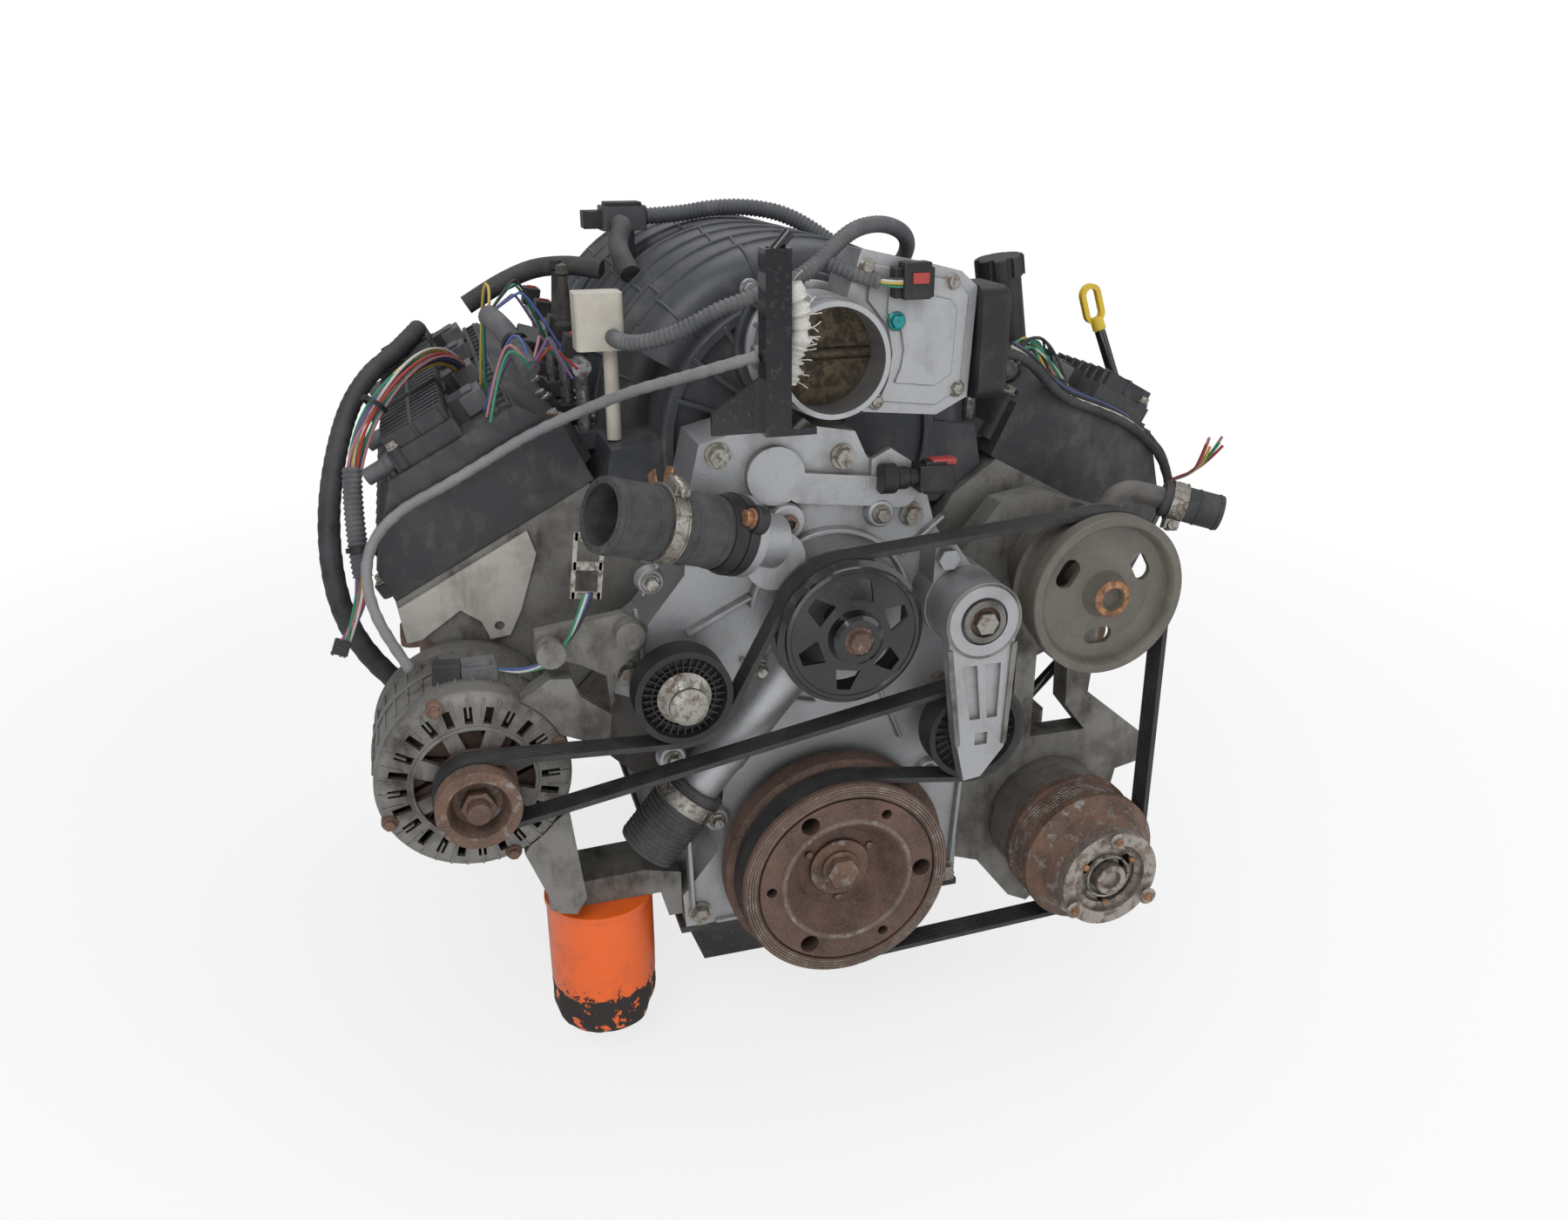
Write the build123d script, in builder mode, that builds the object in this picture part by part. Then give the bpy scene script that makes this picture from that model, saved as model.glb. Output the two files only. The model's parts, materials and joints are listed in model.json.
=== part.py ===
from build123d import *
from math import asin, atan2, cos, degrees, hypot, pi, radians, sin, sqrt, tan
import os

os.makedirs("parts", exist_ok=True)

# A complete V8 engine with overhead rockers and its belt drive.
# Frame: origin on the crankshaft's centre line at the flywheel flange's rear face,
# +X to the right seen from the front, +Y to the rear, +Z up, millimetres.

# Cylinders and cranktrain
bore = 99.5
bore_pitch = 113.3
bank_stagger = 23.4
bank_angle = 90.0
deck_height = 235.0
stroke = 90.9
rod_length = 157.0
main_journal = 65.0
pin_journal = 54.0
running_gap = 0.05
face_gap = 0.3

# Lengths along the crankshaft
rear_main_back = 44.8
rear_wall = 12.0
front_wall = 16.0
bulkhead = 22.0
cover_depth = 62.0
belt_ahead = 114.0
belt_width = 20.0
belt_thickness = 4.5

# Block section
skirt_half_width = 126.0
skirt_depth = 62.0
bank_half_width = 66.0
valley_height = 200.0
bay_radius = 98.0
cam_height = 160.0
cam_journal = 54.0

main_ys = [-(rear_main_back + bore_pitch * i) for i in range(5)]
pair_ys = [-(rear_main_back + bore_pitch * (i + 0.5)) for i in range(4)]
block_rear = -rear_wall
block_front = main_ys[-1] - front_wall
cover_front = block_front - cover_depth
belt_front = block_front - belt_ahead
belt_rear = belt_front + belt_width
half_turn = radians(bank_angle / 2)
SIDES = {"left": -1, "right": 1}


def facing(y):
    """Plane across the engine at y: local x to the right, local y up, extrudes forward."""
    return Plane.XZ.offset(-y)


def beside(x, z):
    """Plane through an axis along the engine: local x is the radius, local y runs to the rear."""
    return Plane(origin=(x, 0, z))


def along(x, z):
    """Axis parallel to the crankshaft through x, z."""
    return Axis((x, 0, z), (0, 1, 0))


def bank_point(side, across, height):
    """x, z of a point of one bank: height along the bore from the crank, across outward."""
    x = height * sin(half_turn) + across * cos(half_turn)
    z = height * cos(half_turn) - across * sin(half_turn)
    return (side * x, z)


def bank_plane(side, y, height):
    """Plane square to one bank's bores at that height, local x outward."""
    x, z = bank_point(side, 0, height)
    return Plane(origin=(x, y, z), x_dir=(side * cos(half_turn), 0, -sin(half_turn)),
                 z_dir=(side * sin(half_turn), 0, cos(half_turn)))


def eased(points):
    """Radii for a route's corners, as large as the runs beside each corner allow."""
    radii = []
    for before, here, after in zip(points, points[1:], points[2:]):
        behind = Vector(*before) - Vector(*here)
        ahead = Vector(*after) - Vector(*here)
        turn = radians(180 - behind.get_angle(ahead))
        radii.append(0.45 * min(behind.length, ahead.length) / tan(turn / 2))
    return radii


def cylinder_ys(side):
    return [y - side * bank_stagger / 2 for y in pair_ys]


def mirrored(points):
    """Outline of a section that is the same on both sides, from its right half."""
    return points + [(-x, z) for x, z in reversed(points)]


# Cylinder block, with bays for the crank throws and a tunnel for the camshaft
deck_outer = bank_point(1, bank_half_width, deck_height)
deck_inner = bank_point(1, -bank_half_width, deck_height)
bank_foot = (skirt_half_width, skirt_half_width - bank_half_width / sin(half_turn))
valley_edge = (valley_height - bank_half_width / sin(half_turn), valley_height)
block_section = mirrored([(skirt_half_width, -skirt_depth), bank_foot, deck_outer, deck_inner, valley_edge])
bay_length = bore_pitch - bulkhead
cap_half_width = 55.0
cap_depth = 54.0
bearing_wall = 2.5
tunnel_radius = main_journal / 2 + running_gap + bearing_wall
bore_foot = 92.0
plug_radius = 19.0
plug_height = 165.0
plug_recess = 3.0
pad_at = (-252.0, -6.0)
pad_length = 104.0
pad_rise = 62.0
pad_height = 9.0
pad_bolt_length = 80.0
pad_bolt_rise = 40.0
pad_bolt_radius = 5.0
bell_radius = 186.0
bell_thickness = 14.0
bell_bolt_circle = 172.0
bell_bolt_radius = 5.5

with BuildPart() as block:
    with BuildSketch(facing(block_rear)):
        Polygon(*block_section, align=None)
    extrude(amount=block_rear - block_front)
    for y in pair_ys:
        with BuildSketch(facing(y + bay_length / 2)):
            Circle(bay_radius)
            with Locations((0, -skirt_depth / 2)):
                Rectangle(2 * bay_radius, skirt_depth)
        extrude(amount=bay_length, mode=Mode.SUBTRACT)
    with BuildSketch(facing(block_rear)):
        Circle(tunnel_radius)
        with Locations((0, -skirt_depth / 2)):
            Rectangle(2 * cap_half_width, skirt_depth)
    extrude(amount=block_rear - block_front, mode=Mode.SUBTRACT)
    with BuildSketch(facing(main_ys[0] + bulkhead / 2)):
        with Locations((0, cam_height)):
            Circle(cam_journal / 2 + running_gap)
    extrude(amount=main_ys[0] + bulkhead / 2 - block_front, mode=Mode.SUBTRACT)
    for side in SIDES.values():
        for y in cylinder_ys(side):
            with BuildSketch(bank_plane(side, y, deck_height)):
                Circle(bore / 2)
            extrude(amount=bore_foot - deck_height, mode=Mode.SUBTRACT)
            x, z = bank_point(side, bank_half_width, plug_height)
            with BuildSketch(Plane(origin=(x, y, z), x_dir=(0, 1, 0), z_dir=(side * cos(half_turn), 0, -sin(half_turn)))):
                Circle(plug_radius)
            extrude(amount=-plug_recess, mode=Mode.SUBTRACT)
        pad = Plane(origin=(side * skirt_half_width, pad_at[0], pad_at[1]), x_dir=(0, 1, 0), z_dir=(side, 0, 0))
        with BuildSketch(pad):
            RectangleRounded(pad_length, pad_rise, 12)
        extrude(amount=pad_height)
        with BuildSketch(pad.offset(pad_height)):
            with GridLocations(pad_bolt_length, pad_bolt_rise, 2, 2):
                Circle(pad_bolt_radius)
        extrude(amount=-24, mode=Mode.SUBTRACT)
    with BuildSketch(facing(block_rear)):
        Circle(bell_radius)
        Circle(bay_radius, mode=Mode.SUBTRACT)
        Polygon((-bell_radius, -skirt_depth), (bell_radius, -skirt_depth), (bell_radius, -bell_radius),
                (-bell_radius, -bell_radius), align=None, mode=Mode.SUBTRACT)
    extrude(amount=bell_thickness)
    with BuildSketch(facing(block_rear)):
        with PolarLocations(bell_bolt_circle, 6, start_angle=0, angular_range=180):
            Circle(bell_bolt_radius)
    extrude(amount=bell_thickness, mode=Mode.SUBTRACT)
block.part.label = "block"
export_step(block.part, "parts/block.step")

# Main bearing caps with their shells, one under each bulkhead; the end caps reach the end faces
with BuildPart() as main_caps:
    for i, y in enumerate(main_ys):
        cap_rear = block_rear if i == 0 else y + bulkhead / 2
        cap_front = block_front if i == len(main_ys) - 1 else y - bulkhead / 2
        with BuildSketch(facing(cap_rear)):
            with Locations((0, -cap_depth / 2)):
                Rectangle(2 * cap_half_width, cap_depth)
            Circle(tunnel_radius, mode=Mode.SUBTRACT)
        extrude(amount=cap_rear - cap_front)
        with BuildSketch(facing(y + bulkhead / 2)):
            Circle(tunnel_radius - face_gap / 10)
            Circle(tunnel_radius - bearing_wall, mode=Mode.SUBTRACT)
        extrude(amount=bulkhead)
main_caps.part.label = "main_caps"
export_step(main_caps.part, "parts/main_caps.step")

# Crankshaft: four throws a quarter turn apart, snout for the sprocket and damper, rear flange
throw = stroke / 2
throw_angles = [90.0, 180.0, 0.0, 270.0]
pin_length = 48.0
cheek = 18.0
cheek_width = 68.0
counterweight_radius = 82.0
snout_radius = 22.0
snout_front = belt_front + 18.0
flange_radius = 52.0
flange_thickness = 10.0
flange_bolt_circle = 82.0
flange_bolt_count = 8
flange_bolt_radius = 5.4
crank_bolt_radius = 8.0

with BuildPart() as crankshaft:
    with BuildSketch(facing(0)):
        Circle(flange_radius)
    extrude(amount=flange_thickness)
    ends = [0.0] + [y for y in pair_ys] + [block_front - face_gap]
    half_throw = pin_length / 2 + cheek
    for i in range(5):
        journal_rear = ends[i] - (half_throw if i else flange_thickness)
        journal_front = ends[i + 1] + (half_throw if i < 4 else 0)
        with BuildSketch(facing(journal_rear)):
            Circle(main_journal / 2)
        extrude(amount=journal_rear - journal_front)
    for y, angle in zip(pair_ys, throw_angles):
        turned = Location((0, 0, 0), (0, 0, angle))
        for rear in (y + half_throw, y - pin_length / 2):
            with BuildSketch(facing(rear)):
                with Locations(turned):
                    Circle(counterweight_radius)
                    Polygon((20, 0), (-86, -74), (-86, 74), align=None, mode=Mode.INTERSECT)
                    with Locations((throw / 2, 0)):
                        SlotCenterToCenter(throw, cheek_width)
            extrude(amount=cheek)
        with BuildSketch(facing(y + pin_length / 2)):
            with Locations(turned):
                with Locations((throw, 0)):
                    Circle(pin_journal / 2)
        extrude(amount=pin_length)
    with BuildSketch(facing(block_front)):
        Circle(snout_radius)
    extrude(amount=block_front - snout_front)
    with BuildSketch(facing(snout_front)):
        Circle(crank_bolt_radius)
    extrude(amount=-40, mode=Mode.SUBTRACT)
    with BuildSketch(facing(0)):
        with PolarLocations(flange_bolt_circle / 2, flange_bolt_count):
            Circle(flange_bolt_radius)
    extrude(amount=flange_thickness, mode=Mode.SUBTRACT)
crankshaft.part.label = "crankshaft"
export_step(crankshaft.part, "parts/crankshaft.step")

# Pistons with their gudgeon pins, each at the height that its throw gives at rest
piston_gap = 0.1
compression_height = 31.0
skirt_length = 22.0
crown = 9.0
piston_wall = 7.0
gudgeon_radius = 12.0

with BuildPart() as pistons:
    for side in SIDES.values():
        for y, pair_y, angle in zip(cylinder_ys(side), pair_ys, throw_angles):
            pin_x = throw * cos(radians(angle))
            pin_z = throw * sin(radians(angle))
            rise = side * pin_x * sin(half_turn) + pin_z * cos(half_turn)
            sway = side * pin_x * cos(half_turn) - pin_z * sin(half_turn)
            gudgeon = rise + sqrt(rod_length ** 2 - sway ** 2)
            top = gudgeon + compression_height
            with BuildSketch(bank_plane(side, y, top)):
                Circle(bore / 2 - piston_gap)
            extrude(amount=-compression_height - skirt_length)
            with BuildSketch(bank_plane(side, y, top - crown)):
                Circle(bore / 2 - piston_gap - piston_wall)
            extrude(amount=-compression_height - skirt_length, mode=Mode.SUBTRACT)
            x, z = bank_point(side, 0, gudgeon)
            with BuildSketch(Plane(origin=(x, y + bore / 2 - piston_wall, z), z_dir=(0, -1, 0))):
                Circle(gudgeon_radius)
            extrude(amount=bore - 2 * piston_wall)
pistons.part.label = "pistons"
export_step(pistons.part, "parts/pistons.step")

# Camshaft with five journals and sixteen lobes, in the tunnel above the crank
cam_core = 17.0
cam_journal_length = 20.0
lobe_base = 17.5
lobe_lift = 7.0
lobe_length = 12.0
lobe_step = 18.0
cam_nose = block_front - 26.0
firing_step = 90.0

with BuildPart() as camshaft:
    with BuildSketch(facing(main_ys[0])):
        with Locations((0, cam_height)):
            Circle(cam_core)
    extrude(amount=main_ys[0] - cam_nose)
    for y in main_ys:
        with BuildSketch(facing(y + cam_journal_length / 2)):
            with Locations((0, cam_height)):
                Circle(cam_journal / 2)
        extrude(amount=cam_journal_length)
    for i, y in enumerate(pair_ys):
        for j in range(4):
            turned = Location((0, cam_height, 0), (0, 0, firing_step * i + 55.0 * j))
            with BuildSketch(facing(y + lobe_step * (j - 1.5) + lobe_length / 2)):
                with Locations(turned):
                    Circle(lobe_base)
                    with Locations((lobe_lift, 0)):
                        Circle(lobe_base - lobe_lift / 2 + 1)
            extrude(amount=lobe_length)
camshaft.part.label = "camshaft"
export_step(camshaft.part, "parts/camshaft.step")

# Timing drive: two sprockets in a ratio of two and the chain round them
chain_rear = block_front - 8.0
chain_width = 14.0
chain_thickness = 7.0
small_teeth = 20
small_pitch_radius = 30.0
large_pitch_radius = 2 * small_pitch_radius
tooth_height = 2.6


def sprocket_outline(radius, teeth):
    """Outline of a sprocket with flat-topped teeth."""
    points = []
    for tooth in range(teeth):
        for part, rise in ((-0.32, 0), (-0.14, tooth_height), (0.14, tooth_height), (0.32, 0)):
            turn = 2 * pi * (tooth + part) / teeth
            reach = radius - chain_thickness / 2 - tooth_height - face_gap + rise
            points.append((reach * cos(turn), reach * sin(turn)))
    return points


with BuildPart() as crank_sprocket:
    with BuildSketch(facing(chain_rear)):
        Polygon(*sprocket_outline(small_pitch_radius, small_teeth), align=None)
        Circle(snout_radius, mode=Mode.SUBTRACT)
    extrude(amount=chain_width)
crank_sprocket.part.label = "crank_sprocket"
export_step(crank_sprocket.part, "parts/crank_sprocket.step")

with BuildPart() as cam_sprocket:
    with BuildSketch(facing(chain_rear)):
        with Locations((0, cam_height)):
            Polygon(*sprocket_outline(large_pitch_radius, 2 * small_teeth), align=None)
            Circle(cam_core, mode=Mode.SUBTRACT)
            with PolarLocations(large_pitch_radius * 0.6, 5):
                Circle(9, mode=Mode.SUBTRACT)
    extrude(amount=chain_width)
cam_sprocket.part.label = "cam_sprocket"
export_step(cam_sprocket.part, "parts/cam_sprocket.step")


def wrap(stops):
    """Closed line round circles in turn: each stop is x, z, radius and sense, 1 clockwise or -1."""
    turns = []
    for here, there in zip(stops, stops[1:] + stops[:1]):
        run = (there[0] - here[0], there[1] - here[1])
        lean = asin((here[3] * here[2] - there[3] * there[2]) / hypot(*run))
        turns.append(atan2(run[1], run[0]) - lean)
    for i, (x, z, radius, sense) in enumerate(stops):
        sweep = degrees(turns[i] - turns[i - 1]) % 360
        start = degrees(turns[i - 1]) + 90 * sense
        CenterArc((x, z), radius, start, sweep - 360 if sense > 0 else sweep)
        ahead = stops[(i + 1) % len(stops)]
        normal = (-sin(turns[i]), cos(turns[i]))
        Line((x + sense * radius * normal[0], z + sense * radius * normal[1]),
             (ahead[0] + ahead[3] * ahead[2] * normal[0], ahead[1] + ahead[3] * ahead[2] * normal[1]))


with BuildPart() as timing_chain:
    with BuildSketch(facing(chain_rear)):
        for edge, mode in ((chain_thickness / 2, Mode.ADD), (-chain_thickness / 2, Mode.SUBTRACT)):
            with BuildLine():
                wrap([(0, 0, small_pitch_radius + edge, 1), (0, cam_height, large_pitch_radius + edge, 1)])
            make_face(mode=mode)
    extrude(amount=chain_width)
timing_chain.part.label = "timing_chain"
export_step(timing_chain.part, "parts/timing_chain.step")

# Front drive: centre x, centre z and rim radius of each pulley
damper_rim = 90.0
steering_at = (217.5, 231.0)
steering_rim = 67.5
alternator_at = (-290.0, 120.5)
alternator_rim = 31.5
compressor_at = (227.0, -19.0)
compressor_rim = 62.0
pump_at = (0.0, 222.0)
pump_rim = 59.0
idler_at = (-132.0, 183.0)
idler_radius = 38.0
tensioner_at = (112.0, 117.0)
tensioner_radius = 41.0
tensioner_pivot = (104.5, 225.0)
rim_height = 4.0
track_margin = 0.8


def belt_stops(edge):
    """The belt's path at that distance from its ribbed side."""
    grooved = edge - rim_height + face_gap
    plain = belt_thickness - edge + face_gap
    return [
        (*alternator_at, alternator_rim + grooved, 1),
        (*idler_at, idler_radius + plain, -1),
        (*pump_at, pump_rim + grooved, 1),
        (*steering_at, steering_rim + grooved, 1),
        (*compressor_at, compressor_rim + grooved, 1),
        (0.0, 0.0, damper_rim + grooved, 1),
        (*tensioner_at, tensioner_radius + plain, -1),
    ]


with BuildPart() as drive_belt:
    with BuildSketch(facing(belt_rear)):
        for edge, mode in ((belt_thickness, Mode.ADD), (0, Mode.SUBTRACT)):
            with BuildLine():
                wrap(belt_stops(edge))
            make_face(mode=mode)
    extrude(amount=belt_width)
drive_belt.part.label = "drive_belt"
export_step(drive_belt.part, "parts/drive_belt.step")

track_front = belt_front - track_margin
track_rear = belt_rear + track_margin

# Vibration damper with its belt track, rear ring and hub sleeve
damper_front = belt_front - 8.0
hub_floor = belt_front + 16.0
damper_rear = belt_front + 38.0
ring_radius = 97.0
sleeve_radius = 28.0
sleeve_rear = cover_front + 14.0
damper_track = damper_rim - rim_height
with BuildPart() as damper:
    with BuildSketch(beside(0, 0)):
        Polygon((snout_radius, sleeve_rear), (snout_radius, hub_floor), (36, hub_floor),
                (52, damper_front), (damper_rim - 1.5, damper_front), (damper_rim, damper_front + 1.5),
                (damper_rim, track_front - 1), (damper_track, track_front), (damper_track, track_rear),
                (ring_radius, track_rear + 1), (ring_radius, damper_rear), (80, damper_rear),
                (80, damper_rear - 10), (40, damper_rear - 10), (40, damper_rear + 2),
                (sleeve_radius, damper_rear + 2), (sleeve_radius, sleeve_rear), align=None)
    revolve(axis=along(0, 0))
    with BuildSketch(facing(damper_front)):
        with PolarLocations(66, 3, start_angle=120):
            Circle(8)
        with PolarLocations(66, 3, start_angle=60):
            Circle(4.5)
        Circle(78)
        Circle(76, mode=Mode.SUBTRACT)
    extrude(amount=-3, mode=Mode.SUBTRACT)
    with BuildSketch(facing(damper_front)):
        with PolarLocations(66, 3, start_angle=120):
            Circle(8)
        with PolarLocations(66, 3, start_angle=60):
            Circle(4.5)
    extrude(amount=-30, mode=Mode.SUBTRACT)
damper.part.label = "damper"
export_step(damper.part, "parts/damper.step")

with BuildPart() as crank_bolt:
    with BuildSketch(facing(hub_floor)):
        Circle(26)
    extrude(amount=4)
    with BuildSketch(facing(hub_floor - 4)):
        RegularPolygon(14, 6)
    extrude(amount=11)
    with BuildSketch(facing(hub_floor)):
        Circle(crank_bolt_radius)
    extrude(amount=-34)
crank_bolt.part.label = "crank_bolt"
export_step(crank_bolt.part, "parts/crank_bolt.step")

# Timing cover: chain case below, water passages and top plate above, all one casting
cover_wall = 6.0
seal_radius = 36.0
cover_outline = [(-126, -62), (-128, -30), (-96, 10), (-88, 100), (-110, 140), (-178, 170), (-180, 200),
                 (-150, 222), (-118, 262), (-112, 330), (-104, 364), (-46, 378), (20, 366), (30, 345),
                 (82, 312), (90, 285), (112, 250), (118, 160), (118, 80), (126, 0), (126, -62)]
case_outline = [(-84, -56), (-84, 150), (-66, 205), (-30, 230), (30, 230), (66, 205), (84, 150), (84, -56)]
upper_outline = [(-100, 250), (-100, 350), (-46, 364), (14, 352), (70, 305), (96, 250)]
cover_bolts_at = [(-90, 355), (10, 347), (69, 295), (-166, 186), (102, 142), (-114, -48), (114, -48)]
dome_at = (-46.0, 337.0)
dome_radius = 23.0
leg_radius = 21.0
leg_start = (-18.0, cover_front - 5, 196.0)
leg_end = (-93.0, cover_front - 5, 106.0)
hose_down = (Vector(*leg_end) - Vector(*leg_start)).normalized()
leg_length = (Vector(*leg_end) - Vector(*leg_start)).length
pipe_radius = 19.7
pipe_length = 66.0
impeller_radius = 36.0
impeller_depth = 20.0
boss_height = 8.0
pump_boss = 46.0

with BuildPart() as timing_cover:
    with BuildSketch(facing(block_front)):
        Polygon(*cover_outline, align=None)
    extrude(amount=cover_depth)
    with BuildSketch(facing(block_front)):
        Polygon(*case_outline, align=None)
    extrude(amount=cover_depth - cover_wall, mode=Mode.SUBTRACT)
    with BuildSketch(facing(block_front)):
        Polygon(*upper_outline, align=None)
    extrude(amount=cover_depth - 3 * cover_wall, mode=Mode.SUBTRACT)
    with BuildSketch(facing(cover_front)):
        with Locations(dome_at):
            Circle(dome_radius)
        with Locations((dome_at[0] + 62, dome_at[1] - 16)):
            SlotCenterToCenter(84, 24, rotation=-7)
        with Locations(idler_at):
            Circle(15)
    extrude(amount=boss_height)
    with BuildSketch(facing(cover_front)):
        with Locations(idler_at):
            Circle(15)
    extrude(amount=cover_front - belt_rear - 3)
    with BuildSketch(Plane(origin=leg_start, z_dir=hose_down)):
        Circle(leg_radius)
    extrude(amount=leg_length)
    with BuildSketch(facing(cover_front)):
        Circle(seal_radius)
    extrude(amount=-cover_wall, mode=Mode.SUBTRACT)
    with BuildSketch(Plane(origin=leg_start, z_dir=hose_down)):
        Circle(pipe_radius)
    extrude(amount=leg_length + pipe_length)
    with BuildSketch(facing(cover_front - 40)):
        with Locations(pump_at):
            Circle(pump_boss + face_gap)
    extrude(amount=-40, mode=Mode.SUBTRACT)
    with BuildSketch(facing(cover_front)):
        with Locations(pump_at):
            Circle(impeller_radius)
    extrude(amount=-impeller_depth, mode=Mode.SUBTRACT)
timing_cover.part.label = "timing_cover"
export_step(timing_cover.part, "parts/timing_cover.step")

# Water pump: bearing housing on the cover, rotor shaft with impeller, pressed pulley
shaft_radius = 12.0
pump_nose = belt_rear + 8.0
pulley_hub_rear = belt_front + 6.0
with BuildPart() as pump_housing:
    with BuildSketch(beside(*pump_at)):
        Polygon((shaft_radius + running_gap, cover_front), (pump_boss, cover_front), (pump_boss, cover_front - 6),
                (30, cover_front - 10), (26, pump_nose), (shaft_radius + running_gap, pump_nose), align=None)
    revolve(axis=along(*pump_at))
pump_housing.part.label = "pump_housing"
export_step(pump_housing.part, "parts/pump_housing.step")

pump_front = belt_front - 12.0
pump_track = pump_rim - rim_height
with BuildPart() as pump_pulley:
    with BuildSketch(beside(*pump_at)):
        Polygon((shaft_radius, pump_front - 10), (17, pump_front - 10), (20, pump_front - 8), (22, pump_front),
                (50, pump_front + 3), (pump_rim, track_front - 3), (pump_rim, track_front - 1),
                (pump_track, track_front), (pump_track, track_rear), (pump_rim, track_rear + 1),
                (pump_rim, track_rear + 3), (pump_track - 3, track_rear + 3), (pump_track - 3, track_front),
                (48, pump_front + 6), (22, pump_front + 3), (20, pulley_hub_rear), (shaft_radius, pulley_hub_rear),
                align=None)
    revolve(axis=along(*pump_at))
    with BuildSketch(facing(pump_front - 12)):
        with Locations(pump_at):
            with PolarLocations(37, 6, start_angle=20):
                Trapezoid(20, 17, 75, rotation=-90)
    extrude(amount=-20, mode=Mode.SUBTRACT)
pump_pulley.part.label = "pump_pulley"
export_step(pump_pulley.part, "parts/pump_pulley.step")

with BuildPart() as pump_rotor:
    with BuildSketch(facing(cover_front + impeller_depth - 3)):
        with Locations(pump_at):
            Circle(shaft_radius)
    extrude(amount=cover_front + impeller_depth - 3 - pump_front + 9)
    with BuildSketch(facing(cover_front + impeller_depth - 3)):
        with Locations(pump_at):
            with PolarLocations(20, 6):
                Rectangle(24, 4, rotation=25)
    extrude(amount=impeller_depth - 6)
    with BuildSketch(facing(pump_front - 9)):
        with Locations(pump_at):
            RegularPolygon(9, 6)
    extrude(amount=6)
pump_rotor.part.label = "pump_rotor"
export_step(pump_rotor.part, "parts/pump_rotor.step")

# Idler: plain pulley, turning on a stud in the cover's boss
stud_radius = 8.5
with BuildPart() as idler_pulley:
    with BuildSketch(beside(*idler_at)):
        Polygon((stud_radius + running_gap, track_front + 2), (17, track_front + 2), (17, track_front + 6),
                (30, track_front + 6), (33, track_front - 1), (idler_radius, track_front - 1),
                (idler_radius, track_rear + 1), (33, track_rear + 1), (30, track_front + 12),
                (17, track_front + 12), (17, track_rear), (stud_radius + running_gap, track_rear), align=None)
    revolve(axis=along(*idler_at))
idler_pulley.part.label = "idler_pulley"
export_step(idler_pulley.part, "parts/idler_pulley.step")

# Belt tensioner: spring case on the cover, arm in front of the belt, flat pulley behind the arm
case_radius = 33.0
case_front = belt_rear + 2.0
arm_rear = belt_front - 4.0
arm_thickness = 16.0
pivot_radius = 12.0
arm_tip = (101.5, 98.0)
anchor_at = (88.0, 266.0)
with BuildPart() as tensioner_case:
    with BuildSketch(facing(cover_front)):
        with Locations(tensioner_pivot):
            Circle(case_radius)
        Polygon((78, 240), (118, 246), (97, 276), (79, 274), align=None)
    extrude(amount=cover_front - case_front)
    with BuildSketch(facing(case_front)):
        with Locations(tensioner_pivot):
            Circle(pivot_radius)
    extrude(amount=case_front - arm_rear + arm_thickness - 4)
    with BuildSketch(facing(case_front)):
        with Locations(anchor_at):
            RegularPolygon(9, 6)
    extrude(amount=8)
tensioner_case.part.label = "tensioner_case"
export_step(tensioner_case.part, "parts/tensioner_case.step")

with BuildPart() as tensioner_arm:
    with BuildSketch(facing(case_front - face_gap)):
        with Locations(tensioner_pivot):
            Circle(case_radius - 1)
    extrude(amount=case_front - face_gap - arm_rear + arm_thickness)
    with BuildSketch(facing(arm_rear)):
        Polygon((tensioner_pivot[0] - 29, tensioner_pivot[1] - 10), (tensioner_pivot[0] + 29, tensioner_pivot[1] - 10),
                (tensioner_at[0] + 18, tensioner_at[1] - 6), (arm_tip[0] + 9, arm_tip[1] - 12),
                (arm_tip[0] - 6, arm_tip[1] - 14), (tensioner_at[0] - 25, tensioner_at[1] + 4), align=None)
    extrude(amount=arm_thickness - 2)
    with BuildSketch(facing(arm_rear)):
        with Locations(tensioner_at):
            Circle(stud_radius)
    extrude(amount=arm_rear - belt_rear)
    with BuildSketch(facing(arm_rear - arm_thickness + 6)):
        Polygon((tensioner_pivot[0] - 16, tensioner_pivot[1] - 38), (tensioner_pivot[0] - 3, tensioner_pivot[1] - 38),
                (tensioner_at[0] - 5, tensioner_at[1] + 22), (tensioner_at[0] - 14, tensioner_at[1] + 22), align=None)
        Polygon((tensioner_pivot[0] + 4, tensioner_pivot[1] - 38), (tensioner_pivot[0] + 18, tensioner_pivot[1] - 38),
                (tensioner_at[0] + 10, tensioner_at[1] + 22), (tensioner_at[0] + 1, tensioner_at[1] + 22), align=None)
        with Locations((tensioner_at[0] - 3, tensioner_at[1] + 4)):
            Rectangle(11, 11)
    extrude(amount=10, mode=Mode.SUBTRACT)
    with BuildSketch(facing(case_front)):
        with Locations(tensioner_pivot):
            Circle(pivot_radius + running_gap)
    extrude(amount=case_front - arm_rear + arm_thickness, mode=Mode.SUBTRACT)
    with BuildSketch(facing(arm_rear - arm_thickness)):
        with Locations(tensioner_pivot):
            Circle(20)
    extrude(amount=-4, mode=Mode.SUBTRACT)
tensioner_arm.part.label = "tensioner_arm"
export_step(tensioner_arm.part, "parts/tensioner_arm.step")

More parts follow.
